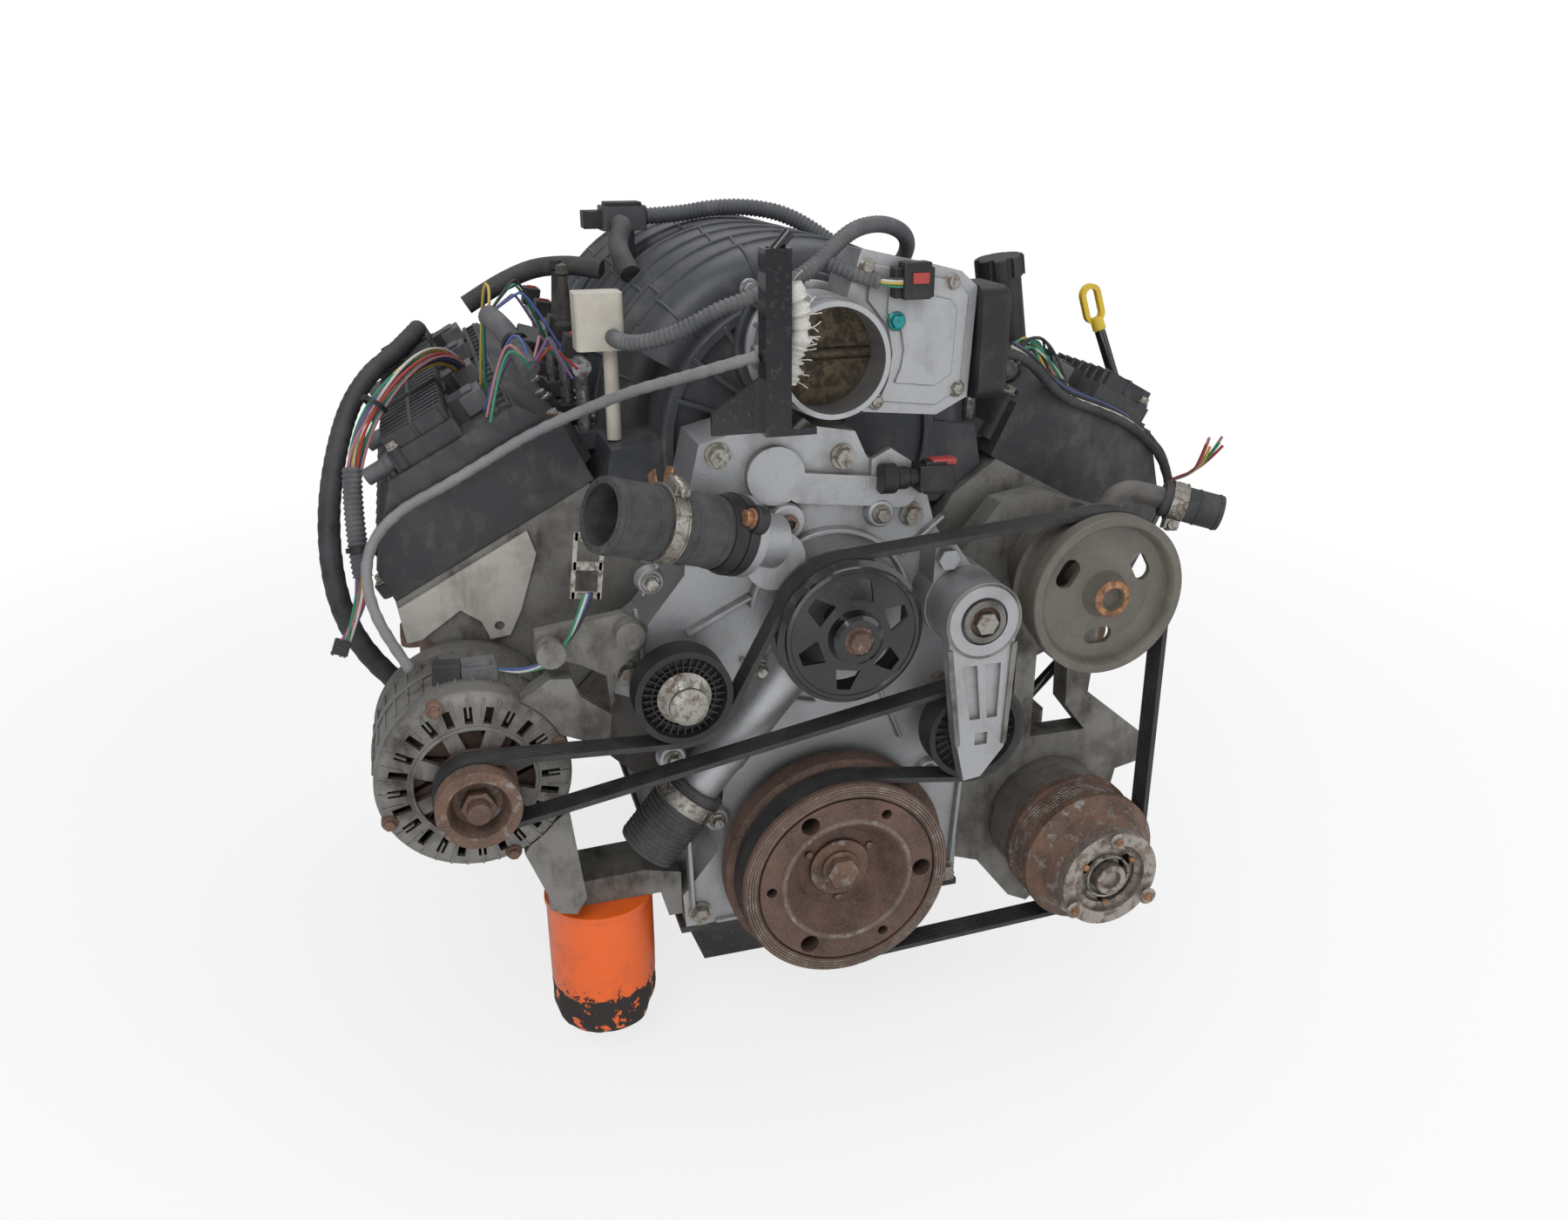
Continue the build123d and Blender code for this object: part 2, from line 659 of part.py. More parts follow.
with BuildPart() as tensioner_pulley:
    with BuildSketch(beside(*tensioner_at)):
        Polygon((stud_radius + running_gap, track_front), (18, track_front), (18, track_front + 6),
                (33, track_front + 6), (36, track_front - 1), (tensioner_radius, track_front - 1),
                (tensioner_radius, track_rear + 1), (36, track_rear + 1), (33, track_front + 12),
                (18, track_front + 12), (18, track_rear), (stud_radius + running_gap, track_rear), align=None)
    revolve(axis=along(*tensioner_at))
tensioner_pulley.part.label = "tensioner_pulley"
export_step(tensioner_pulley.part, "parts/tensioner_pulley.step")

# Alternator: slotted housing with three lugs, rotor with its fan, pulley and nut
alternator_radius = 74.0
alternator_front = belt_rear + 8.0
alternator_rear = block_front + 22.0
alternator_wall = 5.0
rotor_shaft = 8.5
lug_rear = cover_front - 4.0
terminal_at = (-306.0, 106.0)
with BuildPart() as alternator_housing:
    with BuildSketch(facing(alternator_rear)):
        with Locations(alternator_at):
            Circle(alternator_radius)
    extrude(amount=alternator_rear - alternator_front)
    fillet(alternator_housing.faces().sort_by(Axis.Y)[0].edges(), 8)
    with BuildSketch(facing(alternator_front + alternator_wall)):
        with Locations(alternator_at):
            Circle(alternator_radius - alternator_wall)
    extrude(amount=alternator_front + alternator_wall - alternator_rear + alternator_wall, mode=Mode.SUBTRACT)
    with BuildSketch(facing(alternator_front)):
        with Locations(alternator_at):
            Circle(46)
            Circle(22, mode=Mode.SUBTRACT)
            with PolarLocations(34, 4, start_angle=20):
                Rectangle(40, 12, mode=Mode.SUBTRACT)
    extrude(amount=-alternator_wall, mode=Mode.SUBTRACT)
    with BuildSketch(facing(alternator_front + 3)):
        with Locations(alternator_at):
            with PolarLocations(57, 24):
                Rectangle(14, 6)
    extrude(amount=6, both=True, mode=Mode.SUBTRACT)
    with BuildSketch(facing(lug_rear)):
        Polygon((-262, 176), (-228, 198), (-212, 196), (-206, 180), (-183, 162), (-186, 142), (-204, 142),
                (-222, 150), align=None)
        Polygon((-250, 62), (-221, 84), (-212, 0), (-221, -14), (-236, -10), (-258, 50), align=None)
        with Locations(alternator_at):
            Circle(alternator_radius - 1, mode=Mode.SUBTRACT)
    extrude(amount=18)
    with BuildSketch(facing(alternator_front)):
        with Locations(alternator_at):
            Circle(rotor_shaft + running_gap)
    extrude(amount=alternator_front - alternator_rear + 2, mode=Mode.SUBTRACT)
    with BuildSketch(facing(alternator_rear + 26)):
        with Locations(terminal_at):
            RectangleRounded(34, 30, 5)
    extrude(amount=27)
alternator_housing.part.label = "alternator_housing"
export_step(alternator_housing.part, "parts/alternator_housing.step")

with BuildPart() as alternator_rotor:
    with BuildSketch(beside(*alternator_at)):
        Polygon((0, alternator_rear - 4), (0, track_front - 20), (rotor_shaft, track_front - 20),
                (rotor_shaft, alternator_front + 9), (50, alternator_front + 9), (50, alternator_front + 11),
                (60, alternator_front + 16), (60, alternator_rear - 22), (rotor_shaft, alternator_rear - 18),
                (rotor_shaft, alternator_rear - 4), align=None)
    revolve(axis=along(*alternator_at))
    with BuildSketch(facing(alternator_front + 9)):
        with Locations(alternator_at):
            with PolarLocations(36, 10):
                Rectangle(22, 4, rotation=25)
    extrude(amount=-7, mode=Mode.SUBTRACT)
alternator_rotor.part.label = "alternator_rotor"
export_step(alternator_rotor.part, "parts/alternator_rotor.step")

alternator_track = alternator_rim - rim_height
with BuildPart() as alternator_pulley:
    with BuildSketch(beside(*alternator_at)):
        Polygon((rotor_shaft, alternator_front - 1), (rotor_shaft, track_front - 1), (18, track_front - 1),
                (23, track_front - 14), (alternator_rim, track_front - 14), (alternator_rim, track_front - 1),
                (alternator_track, track_front), (alternator_track, track_rear), (alternator_rim, track_rear + 1),
                (alternator_rim, track_rear + 3), (20, track_rear + 3), (16, alternator_front - 1), align=None)
    revolve(axis=along(*alternator_at))
    with BuildSketch(facing(track_front - 1)):
        with Locations(alternator_at):
            RegularPolygon(13, 6)
            Circle(rotor_shaft, mode=Mode.SUBTRACT)
    extrude(amount=9)
alternator_pulley.part.label = "alternator_pulley"
export_step(alternator_pulley.part, "parts/alternator_pulley.step")

# Bracket that carries the alternator from the cover's left side
bracket_rear = cover_front - face_gap
bracket_front = lug_rear - 18 - face_gap
with BuildPart() as alternator_bracket:
    with BuildSketch(facing(bracket_rear)):
        Polygon((-236, 214), (-236, 232), (-168, 240), (-150, 226), (-152, 212), (-179, 190), (-179, 168),
                (-182, 162), (-184, 190), (-204, 202), align=None)
    extrude(amount=10)
    with BuildSketch(facing(bracket_rear)):
        with Locations((-226, 218), (-166, 226)):
            Circle(11)
    extrude(amount=24)
alternator_bracket.part.label = "alternator_bracket"
export_step(alternator_bracket.part, "parts/alternator_bracket.step")

# Power steering pump and its dished pulley
steering_shaft = 9.0
steering_body = 46.0
steering_front = cover_front - 20.0
steering_rear = block_front - 3.0
steering_face = belt_front - 13.0
steering_track = steering_rim - rim_height
outlet_foot = Vector(steering_at[0] + 20, steering_front + 30, steering_at[1] + 20)
outlet_knee = Vector(266, steering_front + 30, 298)
outlet_way = Vector(0.874, -0.432, -0.221).normalized()
outlet_length = 70.0
outlet_bend = 20.0
outlet_tube = 9.5
with BuildPart() as steering_pump:
    with BuildSketch(beside(*steering_at)):
        Polygon((steering_shaft + running_gap, steering_front), (22, steering_front), (22, steering_front + 8),
                (steering_body, steering_front + 12), (steering_body, steering_rear - 12),
                (steering_body - 12, steering_rear), (0, steering_rear), (0, steering_rear - 10),
                (steering_shaft + running_gap, steering_rear - 10), align=None)
    revolve(axis=along(*steering_at))
    with BuildLine() as outlet_path:
        FilletPolyline(outlet_foot, outlet_knee, outlet_knee + outlet_way * outlet_length, radius=outlet_bend)
    with BuildSketch(Plane(origin=outlet_foot, z_dir=outlet_knee - outlet_foot)):
        Circle(outlet_tube)
    sweep(path=outlet_path.line)
steering_pump.part.label = "steering_pump"
export_step(steering_pump.part, "parts/steering_pump.step")

with BuildPart() as steering_pulley:
    with BuildSketch(beside(*steering_at)):
        Polygon((steering_shaft, steering_face - 6), (15, steering_face - 6), (17, steering_face),
                (20, track_front - 5), (44, track_front - 1), (56, track_front - 3), (61, steering_face),
                (steering_rim, steering_face), (steering_rim, track_front - 1), (steering_track, track_front),
                (steering_track, track_rear), (steering_rim, track_rear + 1), (steering_rim, track_rear + 3),
                (steering_track - 5, track_rear + 3), (steering_track - 5, track_front + 5),
                (44, track_front + 4), (20, track_front + 1), (17, steering_front - 1),
                (steering_shaft, steering_front - 1), align=None)
    revolve(axis=along(*steering_at))
    with BuildSketch(facing(steering_face)):
        with Locations(steering_at):
            with PolarLocations(38, 3, start_angle=30):
                SlotCenterToCenter(10, 15, rotation=90)
    extrude(amount=-30, mode=Mode.SUBTRACT)
    with BuildSketch(facing(steering_rear - 11)):
        with Locations(steering_at):
            Circle(steering_shaft)
    extrude(amount=steering_rear - 11 - steering_face)
steering_pulley.part.label = "steering_pulley"
export_step(steering_pulley.part, "parts/steering_pulley.step")

# Air conditioning compressor with its clutch: pulley, hub ring and shaft turn together
compressor_body = 57.0
compressor_front = cover_front - 22.0
compressor_rear = block_front + 72.0
compressor_shaft = 8.0
clutch_front = belt_front - 46.0
compressor_track = compressor_rim - rim_height
with BuildPart() as compressor:
    with BuildSketch(beside(*compressor_at)):
        Polygon((compressor_shaft + running_gap, compressor_front - 4), (24, compressor_front - 4),
                (24, compressor_front), (compressor_body, compressor_front), (compressor_body, compressor_rear - 40),
                (compressor_body - 4, compressor_rear - 36), (compressor_body - 4, compressor_rear - 10),
                (compressor_body - 14, compressor_rear), (0, compressor_rear), (0, compressor_front + 40),
                (compressor_shaft + running_gap, compressor_front + 40), align=None)
    revolve(axis=along(*compressor_at))
    with BuildSketch(Plane.XY.offset(compressor_at[1] + compressor_body - 10)):
        with Locations((compressor_at[0], compressor_rear - 27)):
            RectangleRounded(60, 44, 8)
    extrude(amount=24)
compressor.part.label = "compressor"
export_step(compressor.part, "parts/compressor.step")

with BuildPart() as clutch_pulley:
    with BuildSketch(beside(*compressor_at)):
        Polygon((compressor_shaft, compressor_front - 5), (compressor_shaft, clutch_front + 20),
                (26, clutch_front + 20), (34, clutch_front + 10), (44, clutch_front + 10),
                (52, belt_front - 20), (56, belt_front - 16), (compressor_rim, belt_front - 10),
                (compressor_rim, track_front - 1), (compressor_track, track_front), (compressor_track, track_rear),
                (compressor_rim, track_rear + 1), (compressor_rim, compressor_front - 1), (30, compressor_front - 1),
                (30, compressor_front - 5), align=None)
    revolve(axis=along(*compressor_at))
clutch_pulley.part.label = "clutch_pulley"
export_step(clutch_pulley.part, "parts/clutch_pulley.step")

with BuildPart() as clutch_hub:
    with BuildSketch(facing(clutch_front + 10)):
        with Locations(compressor_at):
            Circle(45)
            Circle(30, mode=Mode.SUBTRACT)
            with PolarLocations(41, 3, start_angle=90):
                Circle(8)
    extrude(amount=6)
    with BuildSketch(facing(clutch_front + 4)):
        with Locations(compressor_at):
            Circle(45)
            Circle(33, mode=Mode.SUBTRACT)
    extrude(amount=4)
    with BuildSketch(facing(clutch_front + 10)):
        with Locations(compressor_at):
            Circle(34)
            with PolarLocations(21, 3, start_angle=30):
                Circle(6.5, mode=Mode.SUBTRACT)
    extrude(amount=2)
    with BuildSketch(facing(compressor_front + 38)):
        with Locations(compressor_at):
            Circle(compressor_shaft)
    extrude(amount=compressor_front + 38 - clutch_front - 4)
    with BuildSketch(facing(clutch_front + 10)):
        with Locations(compressor_at):
            RegularPolygon(10.5, 6)
    extrude(amount=8)
clutch_hub.part.label = "clutch_hub"
export_step(clutch_hub.part, "parts/clutch_hub.step")

# Cast bracket that holds the steering pump and the compressor beside the cover
bracket_back = block_front - 16.0
bracket_thickness = 24.0
with BuildPart() as accessory_bracket:
    with BuildSketch(facing(bracket_back)):
        Polygon((126 + face_gap, -50), (126 + face_gap, 250), (160, 290), (200, 296), (262, 274), (278, 240),
                (268, 180), (262, 100), (332, 42), (338, 22), (300, 14), (286, -60), (216, -118), (196, -108),
                (160, -62), align=None)
        Polygon((146, 56), (146, 150), (168, 184), (186, 160), (186, 62), align=None, mode=Mode.SUBTRACT)
        Polygon((206, 62), (206, 168), (236, 172), (240, 90), (262, 62), align=None, mode=Mode.SUBTRACT)
        with Locations(steering_at):
            Circle(steering_body + face_gap, mode=Mode.SUBTRACT)
        with Locations(compressor_at):
            Circle(compressor_body + face_gap, mode=Mode.SUBTRACT)
    extrude(amount=bracket_thickness)
accessory_bracket.part.label = "accessory_bracket"
export_step(accessory_bracket.part, "parts/accessory_bracket.step")

# Oil pan with its gasket: wide flange, shallow rear and a deep sump that the engine stands on
gasket = 1.5
pan_half_width = 130.0
pan_front = cover_front + 2.0
pan_rear = block_rear - 2.0
pan_top = -skirt_depth - gasket
pan_flange = 6.0
sump_bottom = -180.0
sump_half_width = 92.0
sheet = 4.0
pan_side = [(pan_front + 40, 0), (pan_front + 50, -76), (-420, sump_bottom - pan_top), (-170, sump_bottom - pan_top),
            (-110, -46), (pan_rear - 14, -42), (pan_rear - 12, 0)]
pan_face = [(108, 0), (106, -40), (sump_half_width, sump_bottom - pan_top), (-sump_half_width, sump_bottom - pan_top),
            (-106, -40), (-108, 0)]
with BuildPart() as oil_pan:
    with BuildSketch(Plane.YZ.offset(-pan_half_width)):
        with Locations((0, pan_top)):
            Polygon(*pan_side, align=None)
    extrude(amount=2 * pan_half_width)
    with BuildSketch(facing(0)):
        with Locations((0, pan_top)):
            Polygon(*pan_face, align=None)
    extrude(amount=-pan_front, mode=Mode.INTERSECT)
    offset(amount=-sheet, openings=oil_pan.faces().sort_by(Axis.Z)[-1])
    with BuildSketch(Plane.XY.offset(pan_top)):
        with Locations((0, (pan_front + pan_rear) / 2)):
            Rectangle(2 * pan_half_width, pan_rear - pan_front)
            Rectangle(2 * 102, pan_rear - pan_front - 88, mode=Mode.SUBTRACT)
    extrude(amount=-pan_flange)
oil_pan.part.label = "oil_pan"
export_step(oil_pan.part, "parts/oil_pan.step")

# Oil filter on its angled adapter at the cover's lower left
filter_at = (-196.0, -548.0)
filter_radius = 47.0
filter_top = -25.0
filter_height = 134.0
with BuildPart() as filter_adapter:
    with BuildSketch(facing(filter_at[1] + 26)):
        Polygon((-128 - face_gap, -50), (-128 - face_gap, -8), (-160, 0), (-214, -2), (-240, -10),
                (-240, filter_top), (-146, filter_top), (-140, -50), align=None)
    extrude(amount=50)
filter_adapter.part.label = "filter_adapter"
export_step(filter_adapter.part, "parts/filter_adapter.step")

with BuildPart() as oil_filter:
    with BuildSketch(Plane.XY.offset(filter_top - face_gap)):
        with Locations(filter_at):
            Circle(filter_radius)
    extrude(amount=-filter_height)
    fillet(oil_filter.edges().sort_by(Axis.Z)[0], 14)
    fillet(oil_filter.edges().sort_by(Axis.Z)[-1], 4)
oil_filter.part.label = "oil_filter"
export_step(oil_filter.part, "parts/oil_filter.step")

# Cylinder heads: the joint for the rocker cover is tilted from the deck
rail_outer = (335.0, 231.0)
rail_tilt = radians(28.0)
rail_width = 181.0
head_overhang = 62.0
exhaust_face = 82.0
head_bottom = deck_height + gasket


def rail_point(side, inward, height):
    """x, z from the rocker cover's outer lower corner: inward along the joint, then off it."""
    x = rail_outer[0] - inward * cos(rail_tilt) + height * sin(rail_tilt)
    z = rail_outer[1] + inward * sin(rail_tilt) + height * cos(rail_tilt)
    return (side * x, z)


def rail_plane(side, y, inward, height):
    """Plane on the rocker cover's joint, local x inward."""
    x, z = rail_point(side, inward, height)
    return Plane(origin=(x, y, z), x_dir=(-side * cos(rail_tilt), 0, sin(rail_tilt)),
                 z_dir=(side * sin(rail_tilt), 0, cos(rail_tilt)))


def head_span(side):
    """Rear and front of one head."""
    return cylinder_ys(side)[0] + head_overhang, cylinder_ys(side)[-1] - head_overhang + 4


# Gaskets: one under each head, the frame between the block and the pan, and the crank's front seal
with BuildPart() as gaskets:
    for side in SIDES.values():
        rear, front = head_span(side)
        with BuildSketch(bank_plane(side, (rear + front) / 2, deck_height)):
            Rectangle(2 * bank_half_width - 2, rear - front - 4)
        extrude(amount=gasket)
        for y in cylinder_ys(side):
            with BuildSketch(bank_plane(side, y, deck_height)):
                Circle(bore / 2 + 1)
            extrude(amount=gasket, mode=Mode.SUBTRACT)
    with BuildSketch(Plane.XY.offset(-skirt_depth)):
        with Locations((0, (block_front + block_rear) / 2)):
            Rectangle(2 * skirt_half_width, block_rear - block_front)
            Rectangle(2 * skirt_half_width - 36, block_rear - block_front - 36, mode=Mode.SUBTRACT)
    extrude(amount=-gasket)
    with BuildSketch(facing(cover_front)):
        Circle(seal_radius)
        Circle(sleeve_radius + running_gap, mode=Mode.SUBTRACT)
    extrude(amount=-cover_wall)
gaskets.part.label = "gaskets"
export_step(gaskets.part, "parts/gaskets.step")

for name, side in SIDES.items():
    rear, front = head_span(side)
    with BuildPart() as head:
        with BuildSketch(facing(rear)):
            Polygon(bank_point(side, -92, head_bottom), bank_point(side, 70, head_bottom),
                    bank_point(side, exhaust_face, head_bottom + 26), bank_point(side, exhaust_face, 388),
                    rail_point(side, 0, 0), rail_point(side, rail_width, 0), bank_point(side, -108, 300),
                    align=None)
        extrude(amount=rear - front)
    head.part.label = "head_" + name
    export_step(head.part, "parts/head_" + name + ".step")

# Rocker covers: moulded shells on the tilted joint
shell = 3.0
cover_height = 84.0
cover_profile = [(0, face_gap), (3, 30), (52, cover_height), (165, cover_height), (188, 50), (186, face_gap)]
cover_inside = [(5, face_gap), (8, 29), (54, cover_height - shell), (163, cover_height - shell), (184, 49),
                (181, face_gap)]
with BuildPart() as rocker_covers:
    for side in SIDES.values():
        rear, front = head_span(side)
        with BuildSketch(facing(rear - 3)):
            Polygon(*[rail_point(side, *p) for p in cover_profile], align=None)
        extrude(amount=rear - front - 6)
        with BuildSketch(facing(rear - 3 - shell)):
            Polygon(*[rail_point(side, *p) for p in cover_inside], align=None)
        extrude(amount=rear - front - 6 - 2 * shell, mode=Mode.SUBTRACT)
rocker_covers.part.label = "rocker_covers"
export_step(rocker_covers.part, "parts/rocker_covers.step")

# Ignition coils, one over each cylinder
coil_width = 58.0
coil_length = 98.0
coil_height = 28.0
coil_inward = 90.0
with BuildPart() as coils:
    for side in SIDES.values():
        for y in cylinder_ys(side):
            with BuildSketch(rail_plane(side, y, coil_inward, cover_height + face_gap)):
                Rectangle(coil_width, coil_length)
            extrude(amount=coil_height * 0.55)
            with BuildSketch(rail_plane(side, y, coil_inward, cover_height + face_gap + coil_height * 0.55)):
                Rectangle(coil_width - 12, coil_length - 6)
            extrude(amount=coil_height * 0.45)
            with BuildSketch(rail_plane(side, y, coil_inward + coil_width / 2 + 11, cover_height + face_gap)):
                Rectangle(22, 26)
            extrude(amount=coil_height * 0.7)
coils.part.label = "coils"
export_step(coils.part, "parts/coils.step")

# Intake manifold: one moulding, a barrel with eight round runners that cross over its top
manifold_front = -500.0
manifold_rear = -45.0
barrel_at = (0.0, 345.0)
barrel_radius = 118.0
runner_ring = 130.5
runner_radius = 26.5
runner_pitch = bore_pitch / 2
runner_sweep = 150.0
manifold_base = [(125, 280), (136, 289.3), (165, 309.8), (158, 345), (112, 352)]
shelf_top = 344.0
shelf_inner = 140.0
shelf_outer = 174.0
shelf_width = 30.0
plenum_radius = 100.0
plenum_floor = 300.0
throat_at = (0.0, 422.0)
throttle_bore = 40.0
throttle_rear = manifold_front - 15.0
sensor_at = (-98.0, -250.0)
sensor_top = 516.0


def runner_ys(side):
    return [y - side * runner_pitch / 2 for y in pair_ys]


with BuildPart() as intake_manifold:
    with BuildSketch(facing(manifold_rear)):
        Polygon(*mirrored(manifold_base), align=None)
        with Locations(barrel_at):
            Circle(barrel_radius)
        with Locations((barrel_at[0], barrel_at[1] - barrel_radius)):
            Rectangle(2 * barrel_radius, 2 * (barrel_radius - barrel_at[1] + manifold_base[0][1]), mode=Mode.SUBTRACT)
    extrude(amount=manifold_rear - manifold_front)
    for side in SIDES.values():
        for y in runner_ys(side):
            start = Plane(origin=(side * runner_ring, y, barrel_at[1]), x_dir=(1, 0, 0), z_dir=(0, 0, 1))
            with BuildSketch(start):
                Circle(runner_radius)
            revolve(axis=along(*barrel_at), revolution_arc=-side * runner_sweep)
            with BuildSketch(start):
                Circle(runner_radius)
            extrude(amount=-20)
            with BuildSketch(Plane.XY.offset(shelf_top)):
                with Locations((side * (shelf_inner + shelf_outer) / 2, y)):
                    Rectangle(shelf_outer - shelf_inner, shelf_width)
            extrude(amount=-14)
    with BuildSketch(facing(manifold_rear - 12)):
        with Locations(barrel_at):
            Circle(plenum_radius)
        with Locations((barrel_at[0], barrel_at[1] - plenum_radius)):
            Rectangle(2 * plenum_radius, 2 * (plenum_radius - barrel_at[1] + plenum_floor), mode=Mode.SUBTRACT)
    extrude(amount=manifold_rear - 12 - manifold_front - 8, mode=Mode.SUBTRACT)
    with BuildSketch(facing(manifold_front)):
        with Locations(throat_at):
            Circle(throttle_bore + 10)
    extrude(amount=manifold_front - throttle_rear)
    with BuildSketch(facing(throttle_rear)):
        with Locations(throat_at):
            Circle(throttle_bore + 2)
    extrude(amount=-30, mode=Mode.SUBTRACT)
    with BuildSketch(Plane.XY.offset(sensor_top)):
        with Locations(sensor_at):
            RectangleRounded(42, 32, 4)
    extrude(amount=-22)
    with BuildSketch(Plane.XY.offset(sensor_top - 22)):
        with Locations(sensor_at):
            Circle(11)
    extrude(amount=-60)
intake_manifold.part.label = "intake_manifold"
export_step(intake_manifold.part, "parts/intake_manifold.step")

# Throttle body with the plate on its shaft and the actuator's cover at the side
throttle_front = throttle_rear - 70.0
plate_at = throttle_rear - 34.0
throttle_wall = 6.0
inlet_length = 20.0
inlet_wall = 4.0
throttle_shaft = 5.0
gear_case = [(14, 462), (26, 500), (108, 482), (122, 470), (118, 385), (92, 372), (30, 378)]
actuator_left = 122.0
with BuildPart() as throttle_body:
    with BuildSketch(facing(throttle_rear)):
        Polygon(*gear_case, align=None)
    extrude(amount=50)
    with BuildSketch(facing(throttle_rear)):
        with Locations(throat_at):
            Circle(throttle_bore + throttle_wall)
    extrude(amount=throttle_rear - throttle_front - inlet_length)
    with BuildSketch(facing(throttle_front + inlet_length)):
        with Locations(throat_at):
            Circle(throttle_bore + inlet_wall)
    extrude(amount=inlet_length)
    with BuildSketch(facing(throttle_rear)):
        with Locations(throat_at):
            Circle(throttle_bore)
    extrude(amount=throttle_rear - throttle_front, mode=Mode.SUBTRACT)
    with BuildSketch(Plane.YZ.offset(-throttle_bore - throttle_wall - 8)):
        with Locations((plate_at, throat_at[1])):
            Circle(9)
    extrude(amount=10)
    with BuildSketch(Plane.YZ.offset(-throttle_bore - throttle_wall - 5)):
        with Locations((plate_at, throat_at[1])):
            Circle(throttle_shaft + running_gap)
    extrude(amount=2 * throttle_bore + 4 * throttle_wall, mode=Mode.SUBTRACT)
throttle_body.part.label = "throttle_body"
export_step(throttle_body.part, "parts/throttle_body.step")

with BuildPart() as throttle_plate:
    with BuildSketch(facing(plate_at + 1.25)):
        with Locations(throat_at):
            Circle(throttle_bore - face_gap)
    extrude(amount=2.5)
    with BuildSketch(Plane.YZ.offset(-throttle_bore - throttle_wall - 4)):
        with Locations((plate_at, throat_at[1])):
            Circle(throttle_shaft)
    extrude(amount=2 * throttle_bore + 3 * throttle_wall)
throttle_plate.part.label = "throttle_plate"
export_step(throttle_plate.part, "parts/throttle_plate.step")

with BuildPart() as throttle_actuator:
    with BuildSketch(Plane.YZ.offset(actuator_left + face_gap)):
        with Locations((throttle_rear - 30, 427)):
            RectangleRounded(62, 88, 12)
    extrude(amount=26)
    fillet(throttle_actuator.faces().sort_by(Axis.X)[-1].edges(), 6)
throttle_actuator.part.label = "throttle_actuator"
export_step(throttle_actuator.part, "parts/throttle_actuator.step")

# Fuel rails with their injectors, standing on the manifold's feet
rail_at = (169.0, 400.0)
rail_radius = 8.0
injector_radius = 6.0
with BuildPart() as fuel_rails:
    for side in SIDES.values():
        with BuildSketch(facing(runner_ys(side)[0] + 24)):
            with Locations((side * rail_at[0], rail_at[1])):
                Circle(rail_radius)
        extrude(amount=3 * bore_pitch + 48)
        for y in runner_ys(side):
            with BuildSketch(Plane.XY.offset(shelf_top + face_gap)):
                with Locations((side * (rail_at[0] - 3), y)):
                    Circle(injector_radius)
            extrude(amount=rail_at[1] - shelf_top - face_gap)
fuel_rails.part.label = "fuel_rails"
export_step(fuel_rails.part, "parts/fuel_rails.step")

# Exhaust manifolds: a log along each bank with four ports and a downward outlet
log_across = 124.0
log_height = 300.0
log_radius = 24.0
port_radius = 21.0
outlet_radius = 27.0
outlet_bore = 22.0
outlet_length = 84.0
with BuildPart() as exhaust_manifolds:
    for side in SIDES.values():
        rear_port = cylinder_ys(side)[0]
        log = bank_point(side, log_across, log_height)
        with BuildSketch(facing(rear_port + 20)):
            with Locations(log):
                Circle(log_radius)
        extrude(amount=3 * bore_pitch + 44)
        for y in cylinder_ys(side):
            x, z = bank_point(side, exhaust_face + face_gap, log_height)
            outward = Plane(origin=(x, y, z), x_dir=(0, 1, 0), z_dir=(side * cos(half_turn), 0, -sin(half_turn)))
            with BuildSketch(outward):
                RectangleRounded(80, 52, 10)
            extrude(amount=9)
            with BuildSketch(outward):
                Circle(port_radius)
            extrude(amount=log_across - exhaust_face)
        with BuildSketch(Plane(origin=(log[0], rear_port, log[1]), z_dir=(0, 0, -1))):
            Circle(outlet_radius)
        extrude(amount=outlet_length)
        with BuildSketch(Plane(origin=(log[0], rear_port, log[1] - outlet_length + 10), z_dir=(0, 0, -1))):
            RectangleRounded(96, 64, 14)
        extrude(amount=10)
        with BuildSketch(Plane(origin=(log[0], rear_port, log[1] - outlet_length), z_dir=(0, 0, 1))):
            Circle(outlet_bore)
            with Locations((-37, 0), (37, 0)):
                Circle(5.2)
        extrude(amount=outlet_length, mode=Mode.SUBTRACT)
exhaust_manifolds.part.label = "exhaust_manifolds"
export_step(exhaust_manifolds.part, "parts/exhaust_manifolds.step")

# Thermostat housing, hose neck and the hoses: radiator, steering and crankcase vent
hose_end = Vector(-190.0, belt_front - 18, 338.0)
hose_up = Vector(-0.889, -0.333, 0.313).normalized()
hose_outer = 27.0
hose_inner = 22.0
neck_length = 118.0
neck_start = hose_end - hose_up * neck_length
thermostat_at = (-52.0, 276.0)
with BuildPart() as thermostat_housing:
    with BuildSketch(facing(cover_front)):
        with Locations(thermostat_at):
            Circle(24)
    extrude(amount=26)
    with BuildSketch(Plane(origin=neck_start, z_dir=-hose_up)):
        Circle(21)
    extrude(amount=38)
    with BuildSketch(Plane(origin=neck_start, z_dir=-hose_up)):
        Circle(31)
    extrude(amount=8)
    split(bisect_by=facing(cover_front), keep=Keep.TOP)
thermostat_housing.part.label = "thermostat_housing"
export_step(thermostat_housing.part, "parts/thermostat_housing.step")

with BuildPart() as hose_neck:
    with BuildSketch(Plane(origin=neck_start + hose_up * face_gap, z_dir=hose_up)):
        Circle(31)
    extrude(amount=9)
    with BuildSketch(Plane(origin=neck_start + hose_up * face_gap, z_dir=hose_up)):
        Circle(hose_inner - face_gap)
        Circle(hose_inner - 4, mode=Mode.SUBTRACT)
    extrude(amount=74)
hose_neck.part.label = "hose_neck"
export_step(hose_neck.part, "parts/hose_neck.step")

